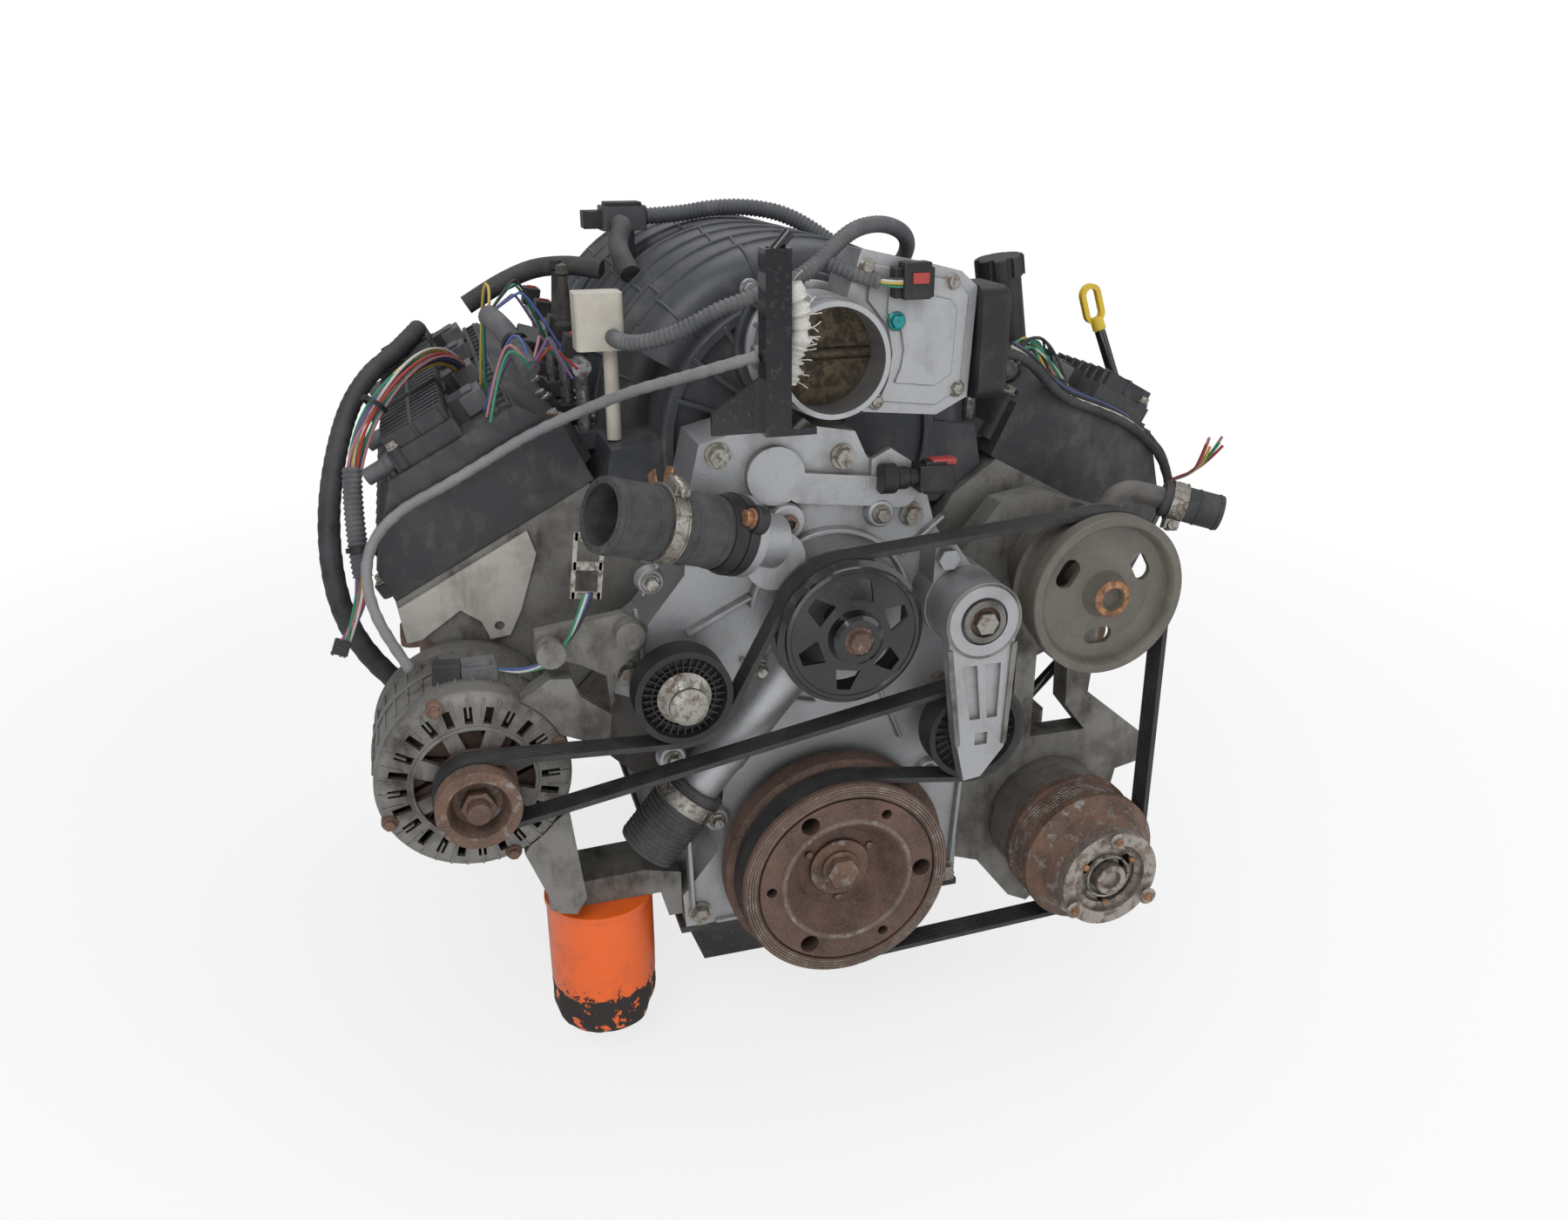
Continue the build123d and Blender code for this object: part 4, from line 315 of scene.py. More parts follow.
FINISHES = {
    "block_iron": lambda c: casting("block_iron", (0.16, 0.15, 0.14), (0.05, 0.04, 0.035), 0.7, 0.62, 0.5),
    "forged_steel": lambda c: plated("forged_steel", (0.42, 0.41, 0.4), (0.16, 0.11, 0.08), 0.35, 0.34),
    "piston_alloy": lambda c: plated("piston_alloy", (0.68, 0.67, 0.66), (0.3, 0.26, 0.22), 0.2, 0.36),
    "belt_rubber": lambda c: ribbed_rubber("belt_rubber", (0.014, 0.014, 0.015), (0.09, 0.086, 0.08)),
    "rusty_iron": lambda c: corroded("rusty_iron", (0.06, 0.037, 0.029), (0.17, 0.1, 0.074),
                                     (0.26, 0.22, 0.2), 0.16),
    "rusty_steel": lambda c: corroded("rusty_steel", (0.06, 0.04, 0.032), (0.2, 0.11, 0.07),
                                      (0.3, 0.27, 0.25), 0.3, 0.6),
    "cast_alloy": lambda c: casting("cast_alloy", tuple(c.cast_alloy), (0.16, 0.145, 0.125), 0.3, 0.36, 0.82),
    "dirty_alloy": lambda c: casting("dirty_alloy", tuple(c.dirty_alloy), (0.075, 0.065, 0.055), 0.75, 0.5,
                                     0.6),
    "black_painted": lambda c: painted("black_painted", (0.008, 0.008, 0.009), (0.13, 0.125, 0.12), 0.2, 0.18,
                                       0.5),
    "black_plastic": lambda c: moulded("black_plastic", (0.011, 0.011, 0.012), (0.12, 0.115, 0.11), 0.35,
                                       0.4),
    "zinc_steel": lambda c: plated("zinc_steel", (0.4, 0.385, 0.345), (0.15, 0.095, 0.06), 0.4, 0.34),
    "steel_pump": lambda c: painted("steel_pump", (0.1, 0.095, 0.09), (0.24, 0.21, 0.18), 0.7, 0.45),
    "grey_pulley": lambda c: painted("grey_pulley", (0.125, 0.115, 0.095), (0.25, 0.225, 0.19), 0.55, 0.4),
    "clutch_steel": lambda c: corroded("clutch_steel", (0.06, 0.045, 0.04), (0.22, 0.16, 0.12),
                                       (0.42, 0.38, 0.34), 0.42, 0.5),
    "gasket_grey": lambda c: rubbery("gasket_grey", (0.14, 0.14, 0.15), (0.25, 0.24, 0.23), 0.4),
    "pan_black": lambda c: painted("pan_black", (0.03, 0.03, 0.031), (0.16, 0.14, 0.12), 0.6, 0.42),
    "filter_orange": lambda c: enamelled("filter_orange", tuple(c.filter_orange), (0.025, 0.02, 0.018)),
    "cover_plastic": lambda c: moulded("cover_plastic", tuple(c.cover_plastic), (0.21, 0.195, 0.18), 0.5,
                                       0.45),
    "coil_plastic": lambda c: moulded("coil_plastic", (0.022, 0.023, 0.026), (0.15, 0.145, 0.14), 0.4, 0.4),
    "manifold_plastic": lambda c: moulded("manifold_plastic", tuple(c.manifold_plastic), (0.2, 0.18, 0.155),
                                          0.5, 0.34),
    "plate_brass": lambda c: plated("plate_brass", (0.12, 0.095, 0.065), (0.05, 0.04, 0.03), 0.5, 0.42),
    "rail_steel": lambda c: plated("rail_steel", (0.4, 0.4, 0.41), (0.16, 0.12, 0.09), 0.5, 0.35),
    "hose_rubber": lambda c: rubbery("hose_rubber", (0.034, 0.034, 0.035), (0.15, 0.145, 0.14), 0.55),
    "yellow_plastic": lambda c: moulded("yellow_plastic", (0.72, 0.5, 0.03), (0.3, 0.22, 0.1), 0.35, 0.32),
    "cord_black": lambda c: rubbery("cord_black", (0.022, 0.022, 0.024), (0.12, 0.12, 0.125), 0.5, 0.55),
    "cord_grey": lambda c: rubbery("cord_grey", (0.2, 0.2, 0.205), (0.34, 0.33, 0.31), 0.5, 0.5),
    "conduit_grey": lambda c: moulded("conduit_grey", (0.085, 0.088, 0.095), (0.27, 0.26, 0.25), 0.6, 0.5),
    "block_white": lambda c: blocks_and_boots("block_white", (0.62, 0.58, 0.5), (0.02, 0.02, 0.021),
                                              (0.26, 0.22, 0.17)),
    "damper_edge": lambda c: corroded("damper_edge", (0.11, 0.08, 0.064), (0.22, 0.165, 0.13),
                                      (0.36, 0.33, 0.3), 0.3),
    "torn_fibre": lambda c: rubbery("torn_fibre", (0.62, 0.6, 0.56), (0.36, 0.33, 0.29), 0.5, 0.8),
    **{"wire_" + word: (lambda c, word=word,
                        tone=tone: moulded("wire_" + word, tone, (0.2, 0.19, 0.18), 0.3, 0.35))
       for word, tone in {"green": (0.03, 0.24, 0.13), "yellow": (0.6, 0.42, 0.05), "pink": (0.42, 0.19, 0.2),
                          "blue": (0.06, 0.1, 0.32), "red": (0.38, 0.04, 0.03), "white": (0.6, 0.58, 0.53),
                          "violet": (0.16, 0.09, 0.22), "black": (0.02, 0.02, 0.022)}.items()},
    "copper_rust": lambda c: plated("copper_rust", (0.5, 0.27, 0.15), (0.2, 0.1, 0.06), 0.6, 0.4),
    "red_plastic": lambda c: moulded("red_plastic", (0.42, 0.04, 0.03), (0.3, 0.2, 0.18), 0.4, 0.4),
    "teal_screw": lambda c: plated("teal_screw", (0.05, 0.33, 0.34), (0.1, 0.14, 0.13), 0.4, 0.35),
    "plate_pale": lambda c: casting("plate_pale", (0.56, 0.54, 0.49), (0.24, 0.2, 0.16), 0.55, 0.55, 0.35),
}


MADE = {}


def finish(name):
    """The material of that name, made the first time it is asked for."""
    if name not in MADE:
        MADE[name] = FINISHES[name](bpy.context.scene.engine_colours)
        MADE[name].name = name + "_finish"
    return MADE[name]


# Shared shapes

def piece(name, vertices, faces, material, body, smooth=True):
    """A mesh in the row's frame, in metres, that rides on a body."""
    mesh = bpy.data.meshes.new(name)
    mesh.from_pydata([tuple(v) for v in vertices], [], faces)
    mesh.validate()
    mesh.update()
    for polygon in mesh.polygons:
        polygon.use_smooth = smooth
    mesh.materials.append(finish(material))
    made = bpy.data.objects.new(name, mesh)
    bpy.context.scene.collection.objects.link(made)
    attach(made, body)
    return made


def mm(points):
    return [Vector(p) / 1000 for p in points]


def spline(name, points):
    """An open NURBS curve through the air, steered by the route's points."""
    curve = bpy.data.curves.new(name, "CURVE")
    curve.dimensions = "3D"
    curve.resolution_u = 16
    strand = curve.splines.new("NURBS")
    strand.points.add(len(points) - 1)
    for point, place in zip(strand.points, points):
        point.co = (*place, 1.0)
    strand.order_u = 3
    strand.use_endpoint_u = True
    made = bpy.data.objects.new(name, curve)
    bpy.context.scene.collection.objects.link(made)
    return made


def centreline(name, points):
    """Points along the spline that the route steers."""
    made = spline(name, points)
    mesh = bpy.data.meshes.new_from_object(made)
    line = [v.co.copy() for v in mesh.vertices]
    bpy.data.objects.remove(made)
    bpy.data.meshes.remove(mesh)
    return line


def spaced(line, step):
    """The same line with its points a step apart, and its length."""
    total = sum((b - a).length for a, b in zip(line, line[1:]))
    count = max(2, round(total / step))
    found, walked, i = [line[0].copy()], 0.0, 0
    for k in range(1, count):
        goal = total * k / count
        while walked + (line[i + 1] - line[i]).length < goal:
            walked += (line[i + 1] - line[i]).length
            i += 1
        run = line[i + 1] - line[i]
        found.append(line[i] + run * ((goal - walked) / run.length))
    found.append(line[-1].copy())
    return found, total


def frames(line):
    """A square pair of directions at each point, carried along without twist."""
    pairs = []
    side = (line[1] - line[0]).orthogonal().normalized()
    for i in range(len(line)):
        way = (line[min(i + 1, len(line) - 1)] - line[max(i - 1, 0)]).normalized()
        side = (side - way * side.dot(way)).normalized()
        pairs.append((side, way.cross(side)))
    return pairs


def tube(name, line, radii, material, body, around=16):
    """A closed tube along the line, with its radius at each point."""
    vertices, faces = [], []
    for point, radius, (side, up) in zip(line, radii, frames(line)):
        for k in range(around):
            turn = 2 * math.pi * k / around
            vertices.append(point + (side * math.cos(turn) + up * math.sin(turn)) * radius)
    for i in range(len(line) - 1):
        for k in range(around):
            a, b = i * around + k, i * around + (k + 1) % around
            faces.append((a, b, b + around, a + around))
    faces.append(tuple(reversed(range(around))))
    faces.append(tuple(range((len(line) - 1) * around, len(line) * around)))
    return piece(name, vertices, faces, material, body)


class Place:
    """A spot with its right, up and outward directions; sizes are in millimetres."""

    def __init__(self, origin, out=(0, -1, 0), up=(0, 0, 1)):
        self.origin = Vector(origin)
        self.out = Vector(out).normalized()
        lean = Vector(up)
        self.up = (lean - self.out * lean.dot(self.out)).normalized()
        self.right = self.up.cross(self.out)

    def at(self, a, b, c=0.0):
        return self.origin + self.right * a + self.up * b + self.out * c

    def turned(self, degrees, reach=0.0):
        """The same spot turned about its outward direction, and moved along its new right."""
        turn = math.radians(degrees)
        right = self.right * math.cos(turn) + self.up * math.sin(turn)
        return Place(self.origin + right * reach, self.out, self.out.cross(right))


def ring_at(place, radius, height, around, first=0.0):
    return [place.at(radius * math.cos(first + 2 * math.pi * k / around),
                     radius * math.sin(first + 2 * math.pi * k / around), height) for k in range(around)]


class Form:
    """Gathers turned forms, plates and rods into one mesh; sizes are in millimetres."""

    def __init__(self):
        self.vertices = []
        self.faces = []

    def loft(self, rings, looped=False):
        base, count = len(self.vertices), len(rings[0])
        for ring in rings:
            self.vertices.extend(ring)
        pairs = list(range(len(rings) - 1)) + ([len(rings) - 1] if looped else [])
        for i in pairs:
            here, there = base + i * count, base + (i + 1) % len(rings) * count
            for k in range(count):
                j = (k + 1) % count
                self.faces.append((here + k, here + j, there + j, there + k))
        if not looped:
            self.faces.append(tuple(range(base + count - 1, base - 1, -1)))
            self.faces.append(tuple(range(base + (len(rings) - 1) * count, base + len(rings) * count)))
        return self

    def turn(self, place, outline, around=32, looped=False, first=0.0):
        """A form turned about the outward direction, from radius and height pairs."""
        return self.loft([ring_at(place, r, h, around, first) for r, h in outline], looped)

    def slab(self, place, outline, low, high):
        return self.loft([[place.at(a, b, low) for a, b in outline],
                          [place.at(a, b, high) for a, b in outline]])

    def block(self, place, wide, tall, low, high):
        w, t = wide / 2, tall / 2
        return self.slab(place, [(-w, -t), (w, -t), (w, t), (-w, t)], low, high)

    def rod(self, points, radius, around=8, straight=False):
        line = [Vector(p) for p in points]
        if not straight and len(line) > 2:
            line = [p * 1000 for p in spaced(centreline("steer", mm(points)), 0.004)[0]]
        radii = radius if isinstance(radius, list) else [radius] * len(line)
        rings = []
        for point, r, (side, up) in zip(line, radii, frames(line)):
            rings.append([point + (side * math.cos(2 * math.pi * k / around)
                                   + up * math.sin(2 * math.pi * k / around)) * r for k in range(around)])
        return self.loft(rings)

    def bolt(self, place, across=10.0, height=6.0, washer=None, point=0.0):
        """A hexagon-headed bolt with its flange."""
        flange = washer or across * 0.82
        self.turn(place, [(flange, 0), (flange, 1.2), (flange * 0.84, 2.2)], 24)
        self.turn(place, [(across * 0.577, 1.6), (across * 0.577, height - 0.8), (across * 0.5, height)], 6,
                  first=point)
        return self

    def make(self, name, material, body="engine", bevel=0.0, sharp=38.0):
        made = piece(name, [v / 1000 for v in self.vertices], self.faces, material, body)
        mesh = made.data
        shape = bmesh.new()
        shape.from_mesh(mesh)
        bmesh.ops.recalc_face_normals(shape, faces=shape.faces)
        shape.to_mesh(mesh)
        shape.free()
        mesh.set_sharp_from_angle(angle=math.radians(sharp))
        if bevel:
            edge = made.modifiers.new("edge", "BEVEL")
            edge.width = bevel / 1000
            edge.segments = 1
            edge.limit_method = "ANGLE"
            edge.angle_limit = math.radians(40)
        return made


def front(x, y, z):
    return Place((x, y, z))


def cover_place(side, inward, y, height=84.0):
    """A spot over a rocker cover: outward is away from the deck, up is towards the engine's middle."""
    tilt = math.radians(28)
    x = 335 - inward * math.cos(tilt) + height * math.sin(tilt)
    z = 231 + inward * math.sin(tilt) + height * math.cos(tilt)
    return Place((side * x, y, z), (side * math.sin(tilt), 0, math.cos(tilt)),
                 (-side * math.cos(tilt), 0, math.sin(tilt)))


ROUTES = {
    "loom_left": [(-293, -120, 391.4), (-307.3, -170, 385.4), (-322, -205, 378), (-341, -240, 370),
                  (-360, -300, 353), (-372, -370, 328), (-380, -425, 296), (-382, -456, 258),
                  (-378, -466, 221),
                  (-366, -470, 188), (-343, -474, 156), (-315, -477, 127.8)],
    "cable_front": [(-67.4, -612, 434), (-96, -604, 425.5), (-116, -574, 414), (-148, -538, 399),
                    (-186, -503, 377),
                    (-222, -492, 360), (-256, -490, 341), (-290, -490, 323), (-322, -492, 309),
                    (-345, -499, 290),
                    (-354, -509, 267), (-352, -520, 243), (-343, -531, 219), (-328, -540, 193)],
    "conduit_front": [(100, -455, 476), (99, -478, 488), (88, -500, 505), (62, -520, 515), (36, -532, 514),
                      (16, -543, 505), (-6, -555, 488), (-33, -561, 475), (-59, -560, 467), (-82, -555, 459),
                      (-102, -549, 447), (-122, -538, 437), (-140, -524, 432), (-150, -507, 432),
                      (-150, -485.3, 432)],
    "conduit_top": [(104, -316, 472), (80, -302, 491), (52, -284, 508), (20, -270, 514), (-14, -258, 513),
                    (-45, -252, 507), (-76.7, -252, 506)],
    "loom_right": [(148.6, -535, 412), (172, -535, 412), (194, -529, 400), (214, -520, 382),
                   (238, -512.9, 364),
                   (272, -512.9, 352), (303, -512.9, 338), (328, -512.9, 319), (344, -512.9, 300),
                   (351, -512.9, 280)],
}


def corrugated(line, radius, pitch):
    """Points and radii of a ribbed conduit."""
    points, length = spaced(line, pitch / 4)
    radii = [radius - 0.0007 * (1 + math.cos(math.pi * i / 2)) for i in range(len(points))]
    return points, radii, length


def taped(line, radius, turn):
    """Points and radii of a loom that is wound with tape."""
    points, length = spaced(line, turn / 4)
    radii = [radius - 0.0005 * (i % 4) / 3 for i in range(len(points))]
    return points, radii, length


# Centres of the wheels at the front, x and z in millimetres
DAMPER, WATER_PUMP, IDLER, TENSIONER_WHEEL = (0, 0), (0, 222), (-132, 183), (112, 117)
STEERING, CLUTCH, ALTERNATOR = (217.5, 231), (227, -19), (-290, 120.5)


def wheel_face(centre, y):
    """A spot on a wheel's axis, facing forward."""
    return front(centre[0], y, centre[1])


# Panel properties and operators

class EngineColours(bpy.types.PropertyGroup):
    cast_alloy: FloatVectorProperty(name="Bright casting",
                                    description="Colour of the timing cover's cast alloy",
                                    subtype="COLOR", default=(0.47, 0.475, 0.485))
    dirty_alloy: FloatVectorProperty(name="Dirty casting",
                                     description="Colour of the accessories' cast alloy",
                                     subtype="COLOR", default=(0.27, 0.26, 0.24))
    filter_orange: FloatVectorProperty(name="Oil filter", description="Colour of the filter's enamel",
                                       subtype="COLOR", default=(0.92, 0.14, 0.012))
    cover_plastic: FloatVectorProperty(name="Rocker covers",
                                       description="Colour of the rocker covers' plastic",
                                       subtype="COLOR", default=(0.03, 0.031, 0.034))
    manifold_plastic: FloatVectorProperty(name="Intake manifold",
                                          description="Colour of the manifold's plastic",
                                          subtype="COLOR", default=(0.05, 0.054, 0.064))


class EngineSizes(bpy.types.PropertyGroup):
    rib_pitch: FloatProperty(name="Conduit rib pitch", description="Distance between the ribs of a conduit",
                             default=0.0042, unit="LENGTH")
    tape_turn: FloatProperty(name="Tape turn", description="Distance between turns of tape on a loom",
                             default=0.014, unit="LENGTH")
    key_power: FloatProperty(name="Key light", description="Power of the largest lamp", default=26.0,
                             subtype="POWER")


class ENGINE_OT_stage(bpy.types.Operator):
    """Floor, backdrop, lamps and camera"""
    bl_idname = "engine.stage"
    bl_label = "Stage"

    def execute(self, context):
        scene = context.scene
        mesh = bpy.data.meshes.new("floor")
        mesh.from_pydata([(-9, -7, FLOOR), (9, -7, FLOOR), (9, 11, FLOOR), (-9, 11, FLOOR)], [],
                         [(0, 1, 2, 3)])
        floor = bpy.data.objects.new("floor", mesh)
        scene.collection.objects.link(floor)
        pale = Finish("floor_pale")
        pale.set(base_color=(0.86, 0.86, 0.86), roughness=0.9)
        glow = pale.node("ShaderNodeEmission", None, {"Color": (1, 1, 1, 1), "Strength": 1.0})
        path = pale.node("ShaderNodeLightPath", output="Is Camera Ray")
        reach = pale.node("ShaderNodeVectorMath", {"operation": "LENGTH"}, {0: pale.place}, "Value")
        far = pale.step(reach, 0.7, 1.5)
        shown = pale.node("ShaderNodeMixShader", None,
                          {0: path * (0.78 + 0.22 * far), 1: Wire(pale, pale.shader.outputs["BSDF"]),
                           2: glow})
        output = next(n for n in pale.tree.nodes if n.type == "OUTPUT_MATERIAL")
        pale.feed(output.inputs["Surface"], shown)
        floor.data.materials.append(pale.material)

        world = bpy.data.worlds.new("studio")
        scene.world = world
        world.use_nodes = True
        tree = world.node_tree
        tree.nodes.clear()
        path = tree.nodes.new("ShaderNodeLightPath")
        seen = tree.nodes.new("ShaderNodeMath")
        seen.operation = "MAXIMUM"
        tree.links.new(path.outputs["Is Camera Ray"], seen.inputs[0])
        tree.links.new(path.outputs["Is Transmission Ray"], seen.inputs[1])
        soft = tree.nodes.new("ShaderNodeBackground")
        soft.inputs["Color"].default_value = (0.93, 0.96, 1.0, 1.0)
        soft.inputs["Strength"].default_value = 0.42
        white = tree.nodes.new("ShaderNodeBackground")
        white.inputs["Color"].default_value = (1, 1, 1, 1)
        white.inputs["Strength"].default_value = 1.0
        blend = tree.nodes.new("ShaderNodeMixShader")
        tree.links.new(seen.outputs[0], blend.inputs[0])
        tree.links.new(soft.outputs[0], blend.inputs[1])
        tree.links.new(white.outputs[0], blend.inputs[2])
        output = tree.nodes.new("ShaderNodeOutputWorld")
        tree.links.new(blend.outputs[0], output.inputs["Surface"])

        power = scene.engine_sizes.key_power
        lamps = (("key", (-1.2, -2.3, 2.3), 1.5, 1.0), ("fill", (1.9, -2.0, 1.0), 1.8, 0.45),
                 ("top", (0.2, 0.2, 2.6), 2.0, 0.9), ("low", (-0.4, -2.6, 0.1), 1.4, 0.35))
        for name, place, size, share in lamps:
            data = bpy.data.lights.new(name, "AREA")
            data.energy = power * share
            data.size = size
            lamp = bpy.data.objects.new(name, data)
            lamp.location = place
            aim = Vector((0.0, -0.35, 0.15)) - Vector(place)
            lamp.rotation_euler = aim.to_track_quat("-Z", "Y").to_euler()
            scene.collection.objects.link(lamp)

        data = bpy.data.cameras.new("camera")
        data.lens = 28.0
        data.sensor_width = 36.0
        camera = bpy.data.objects.new("camera", data)
        camera.location = (-0.3021, -1.4469, 0.5843)
        camera.rotation_euler = (math.radians(90 - 21.6), 0, math.radians(-16.9))
        scene.collection.objects.link(camera)
        scene.camera = camera
        scene.view_settings.view_transform = "Standard"
        return {"FINISHED"}


class ENGINE_OT_finishes(bpy.types.Operator):
    """Finishes of the pieces that come from the frame"""
    bl_idname = "engine.finishes"
    bl_label = "Finishes"

    def execute(self, context):
        slots = {row["node"]: row["material_slot"] for row in frame["record"]["subparts"]}
        for name, node in NODES.items():
            made = finish(slots[name])
            node.data.materials.clear()
            node.data.materials.append(made)
        return {"FINISHED"}


class ENGINE_OT_pulleys(bpy.types.Operator):
    """Ribs, grooves, hubs and springs of the pulleys at the front"""
    bl_idname = "engine.pulleys"
    bl_label = "Pulleys"

    def execute(self, context):
        plain_wheels = (("idler_ribs", IDLER, 32, 17.4, 31.6, "idler"),
                        ("tensioner_ribs", TENSIONER_WHEEL, 28, 18.4, 34.4, "tensioner_wheel"))
        for name, centre, count, inner, outer, body in plain_wheels:
            ribs = Form()
            web = wheel_face(centre, -622.8)
            for k in range(count):
                ribs.block(web.turned(360 * k / count, (inner + outer) / 2), outer - inner, 1.1, -0.3, 4.4)
            ribs.turn(web, [(24, -0.3), (24, 3.4), (25.2, 3.4), (25.2, -0.3)], 48, True)
            ribs.make(name, "black_plastic", body)
        Form().turn(wheel_face(IDLER, -641), [(13, 0), (15, 1.5), (15, 4.5), (12.5, 6), (8, 6.4)], 40).make(
            "idler_cap", "zinc_steel", "engine", 0.3)

        face = front(0, -636, 0)
        ring = Form()
        for k in range(4):
            r = 79.6 + 2.3 * k
            ring.turn(face, [(r, -0.6), (r + 0.4, 0.7), (r + 1.5, 0.7), (r + 1.9, -0.6)], 96, True)
        ring.turn(face, [(53, -0.5), (54, 0.9), (57, 0.9), (58, -0.5)], 80, True)
        ring.make("damper_rings", "damper_edge", "crank")
        hub = Form()
        hub.turn(front(0, -616, 0), [(15.5, 0), (16.5, 1), (16.5, 3), (15, 3.6)], 40)
        for k in range(3):
            hub.turn(front(0, -612.5, 0).turned(120 * k + 30, 31), [(3.2, 0), (3.2, 2.0), (2.6, 2.6)], 16)
        hub.make("damper_hub", "rusty_steel", "crank", 0.3)

        wheel = wheel_face(WATER_PUMP, -640)
        pump = Form()
        pump.turn(wheel, [(8.5, 1.5), (10.5, 2.5), (10.5, 5.5), (8, 7)], 24)
        pump.turn(wheel, [(16, -8.5), (16, -6.5), (14, -5.6), (11, -5.6), (11, -8.5)], 32, True)
        pump.make("pump_hub_cap", "rusty_steel", "water_pump", 0.3)
        Form().turn(wheel, [(50, -3.4), (51, -2.2), (54, -2.9), (55, -4.6)], 72, True).make(
            "pump_rim_step", "black_painted", "water_pump")

        dish = wheel_face(STEERING, -641)
        Form().turn(dish, [(9.5, 5.5), (10, 8), (13.5, 8), (15.5, 6.6), (16, 5.5)], 40, True).make(
            "steering_collar", "copper_rust", "steering_drive", 0.3)
        web = Form()
        web.turn(dish, [(57.3, -4.6), (58, -1.4), (60.2, 1.2), (66.8, 1.2), (67.3, 0)], 80, True)
        for k in range(3):
            slot = dish.turned(120 * k + 90, 38)
            web.turn(slot, [(6.2, -14), (6.2, -11.2), (7.6, -11.2), (7.6, -14)], 28, True)
        web.make("steering_rim_step", "grey_pulley", "steering_drive")

        clutch = wheel_face(CLUTCH, -674)
        plate = Form()
        for k in range(3):
            ear = clutch.turned(120 * k + 90, 41)
            plate.turn(ear, [(7.6, 5.5), (8, 6.4), (7, 7.2), (3.4, 7.2)], 24)
        plate.turn(clutch, [(26, -8), (26, -4.5), (31, -3.5), (33.5, -4.5), (33.5, -8)], 48, True)
        plate.turn(clutch, [(8.5, 2), (9.5, 3), (13, 3), (14, 2), (14, -9), (8.5, -9)], 32, True)
        plate.make("clutch_plate", "clutch_steel", "clutch", 0.3)
        rivets = Form()
        for k in range(3):
            rivets.turn(clutch.turned(120 * k + 90, 41), [(3.6, 7), (3.6, 8.6), (2.6, 9.8)], 20)
            rivets.turn(clutch.turned(120 * k + 30, 26), [(3, -6), (3, -3), (2.2, -2.2)], 16)
        rivets.make("clutch_rivets", "copper_rust", "clutch")
        coil = [clutch.at(19.5 * math.cos(t * 0.42), 19.5 * math.sin(t * 0.42),
                          -8.5 + 0.11 * t) for t in range(48)]
        Form().rod(coil, 1.3, 8, True).make("clutch_spring", "zinc_steel", "clutch")
        edge = wheel_face(CLUTCH, -637.6)
        Form().turn(edge, [(57.5, -4), (58.5, 0.4), (61.6, 0.4), (61.9, -1)], 80, True).make(
            "clutch_rim_step", "rusty_steel", "clutch")

        grooved_rims = (("pump_grooves", WATER_PUMP, 59, "black_painted", "water_pump"),
                        ("steering_grooves", STEERING, 67.5, "grey_pulley", "steering_drive"),
                        ("clutch_grooves", CLUTCH, 62, "clutch_steel", "clutch"),
                        ("damper_grooves", DAMPER, 90, "rusty_iron", "crank"),
                        ("alternator_grooves", ALTERNATOR, 31.5, "rusty_steel", "alternator"))
        for name, centre, rim, material, body in grooved_rims:
            track = Form()
            for k in range(7):
                track.turn(wheel_face(centre, -608.6 - 3.1 * k),
                           [(rim - 4.6, 1.3), (rim - 3.78, 0.4), (rim - 3.78, -0.4), (rim - 4.6, -1.3)],
                           72, True)
            track.make(name, material, body)

        arm = Form()
        pivot = front(104.5, -648, 225)
        arm.turn(pivot, [(12.5, 0), (12.5, 2.5), (17, 2.5), (18, 1.5), (18, 0)], 40, True)
        arm.turn(pivot, [(29, -0.8), (29.6, 0.7), (31.4, 0.7), (31.9, -0.8)], 56, True)
        arm.slab(front(0, -646, 0), [(74, 203), (79, 203), (90, 118), (86, 116)], -0.5, 2.2)
        arm.slab(front(0, -646, 0), [(130, 203), (135, 205), (131, 116), (127, 114)], -0.5, 2.2)
        arm.make("tensioner_rims", "dirty_alloy", "tensioner", 0.5)
        head = Form()
        head.bolt(front(104.5, -644.6, 225), 15, 8, 14)
        head.make("tensioner_pivot_bolt", "rusty_steel", "engine", 0.4)
        return {"FINISHED"}


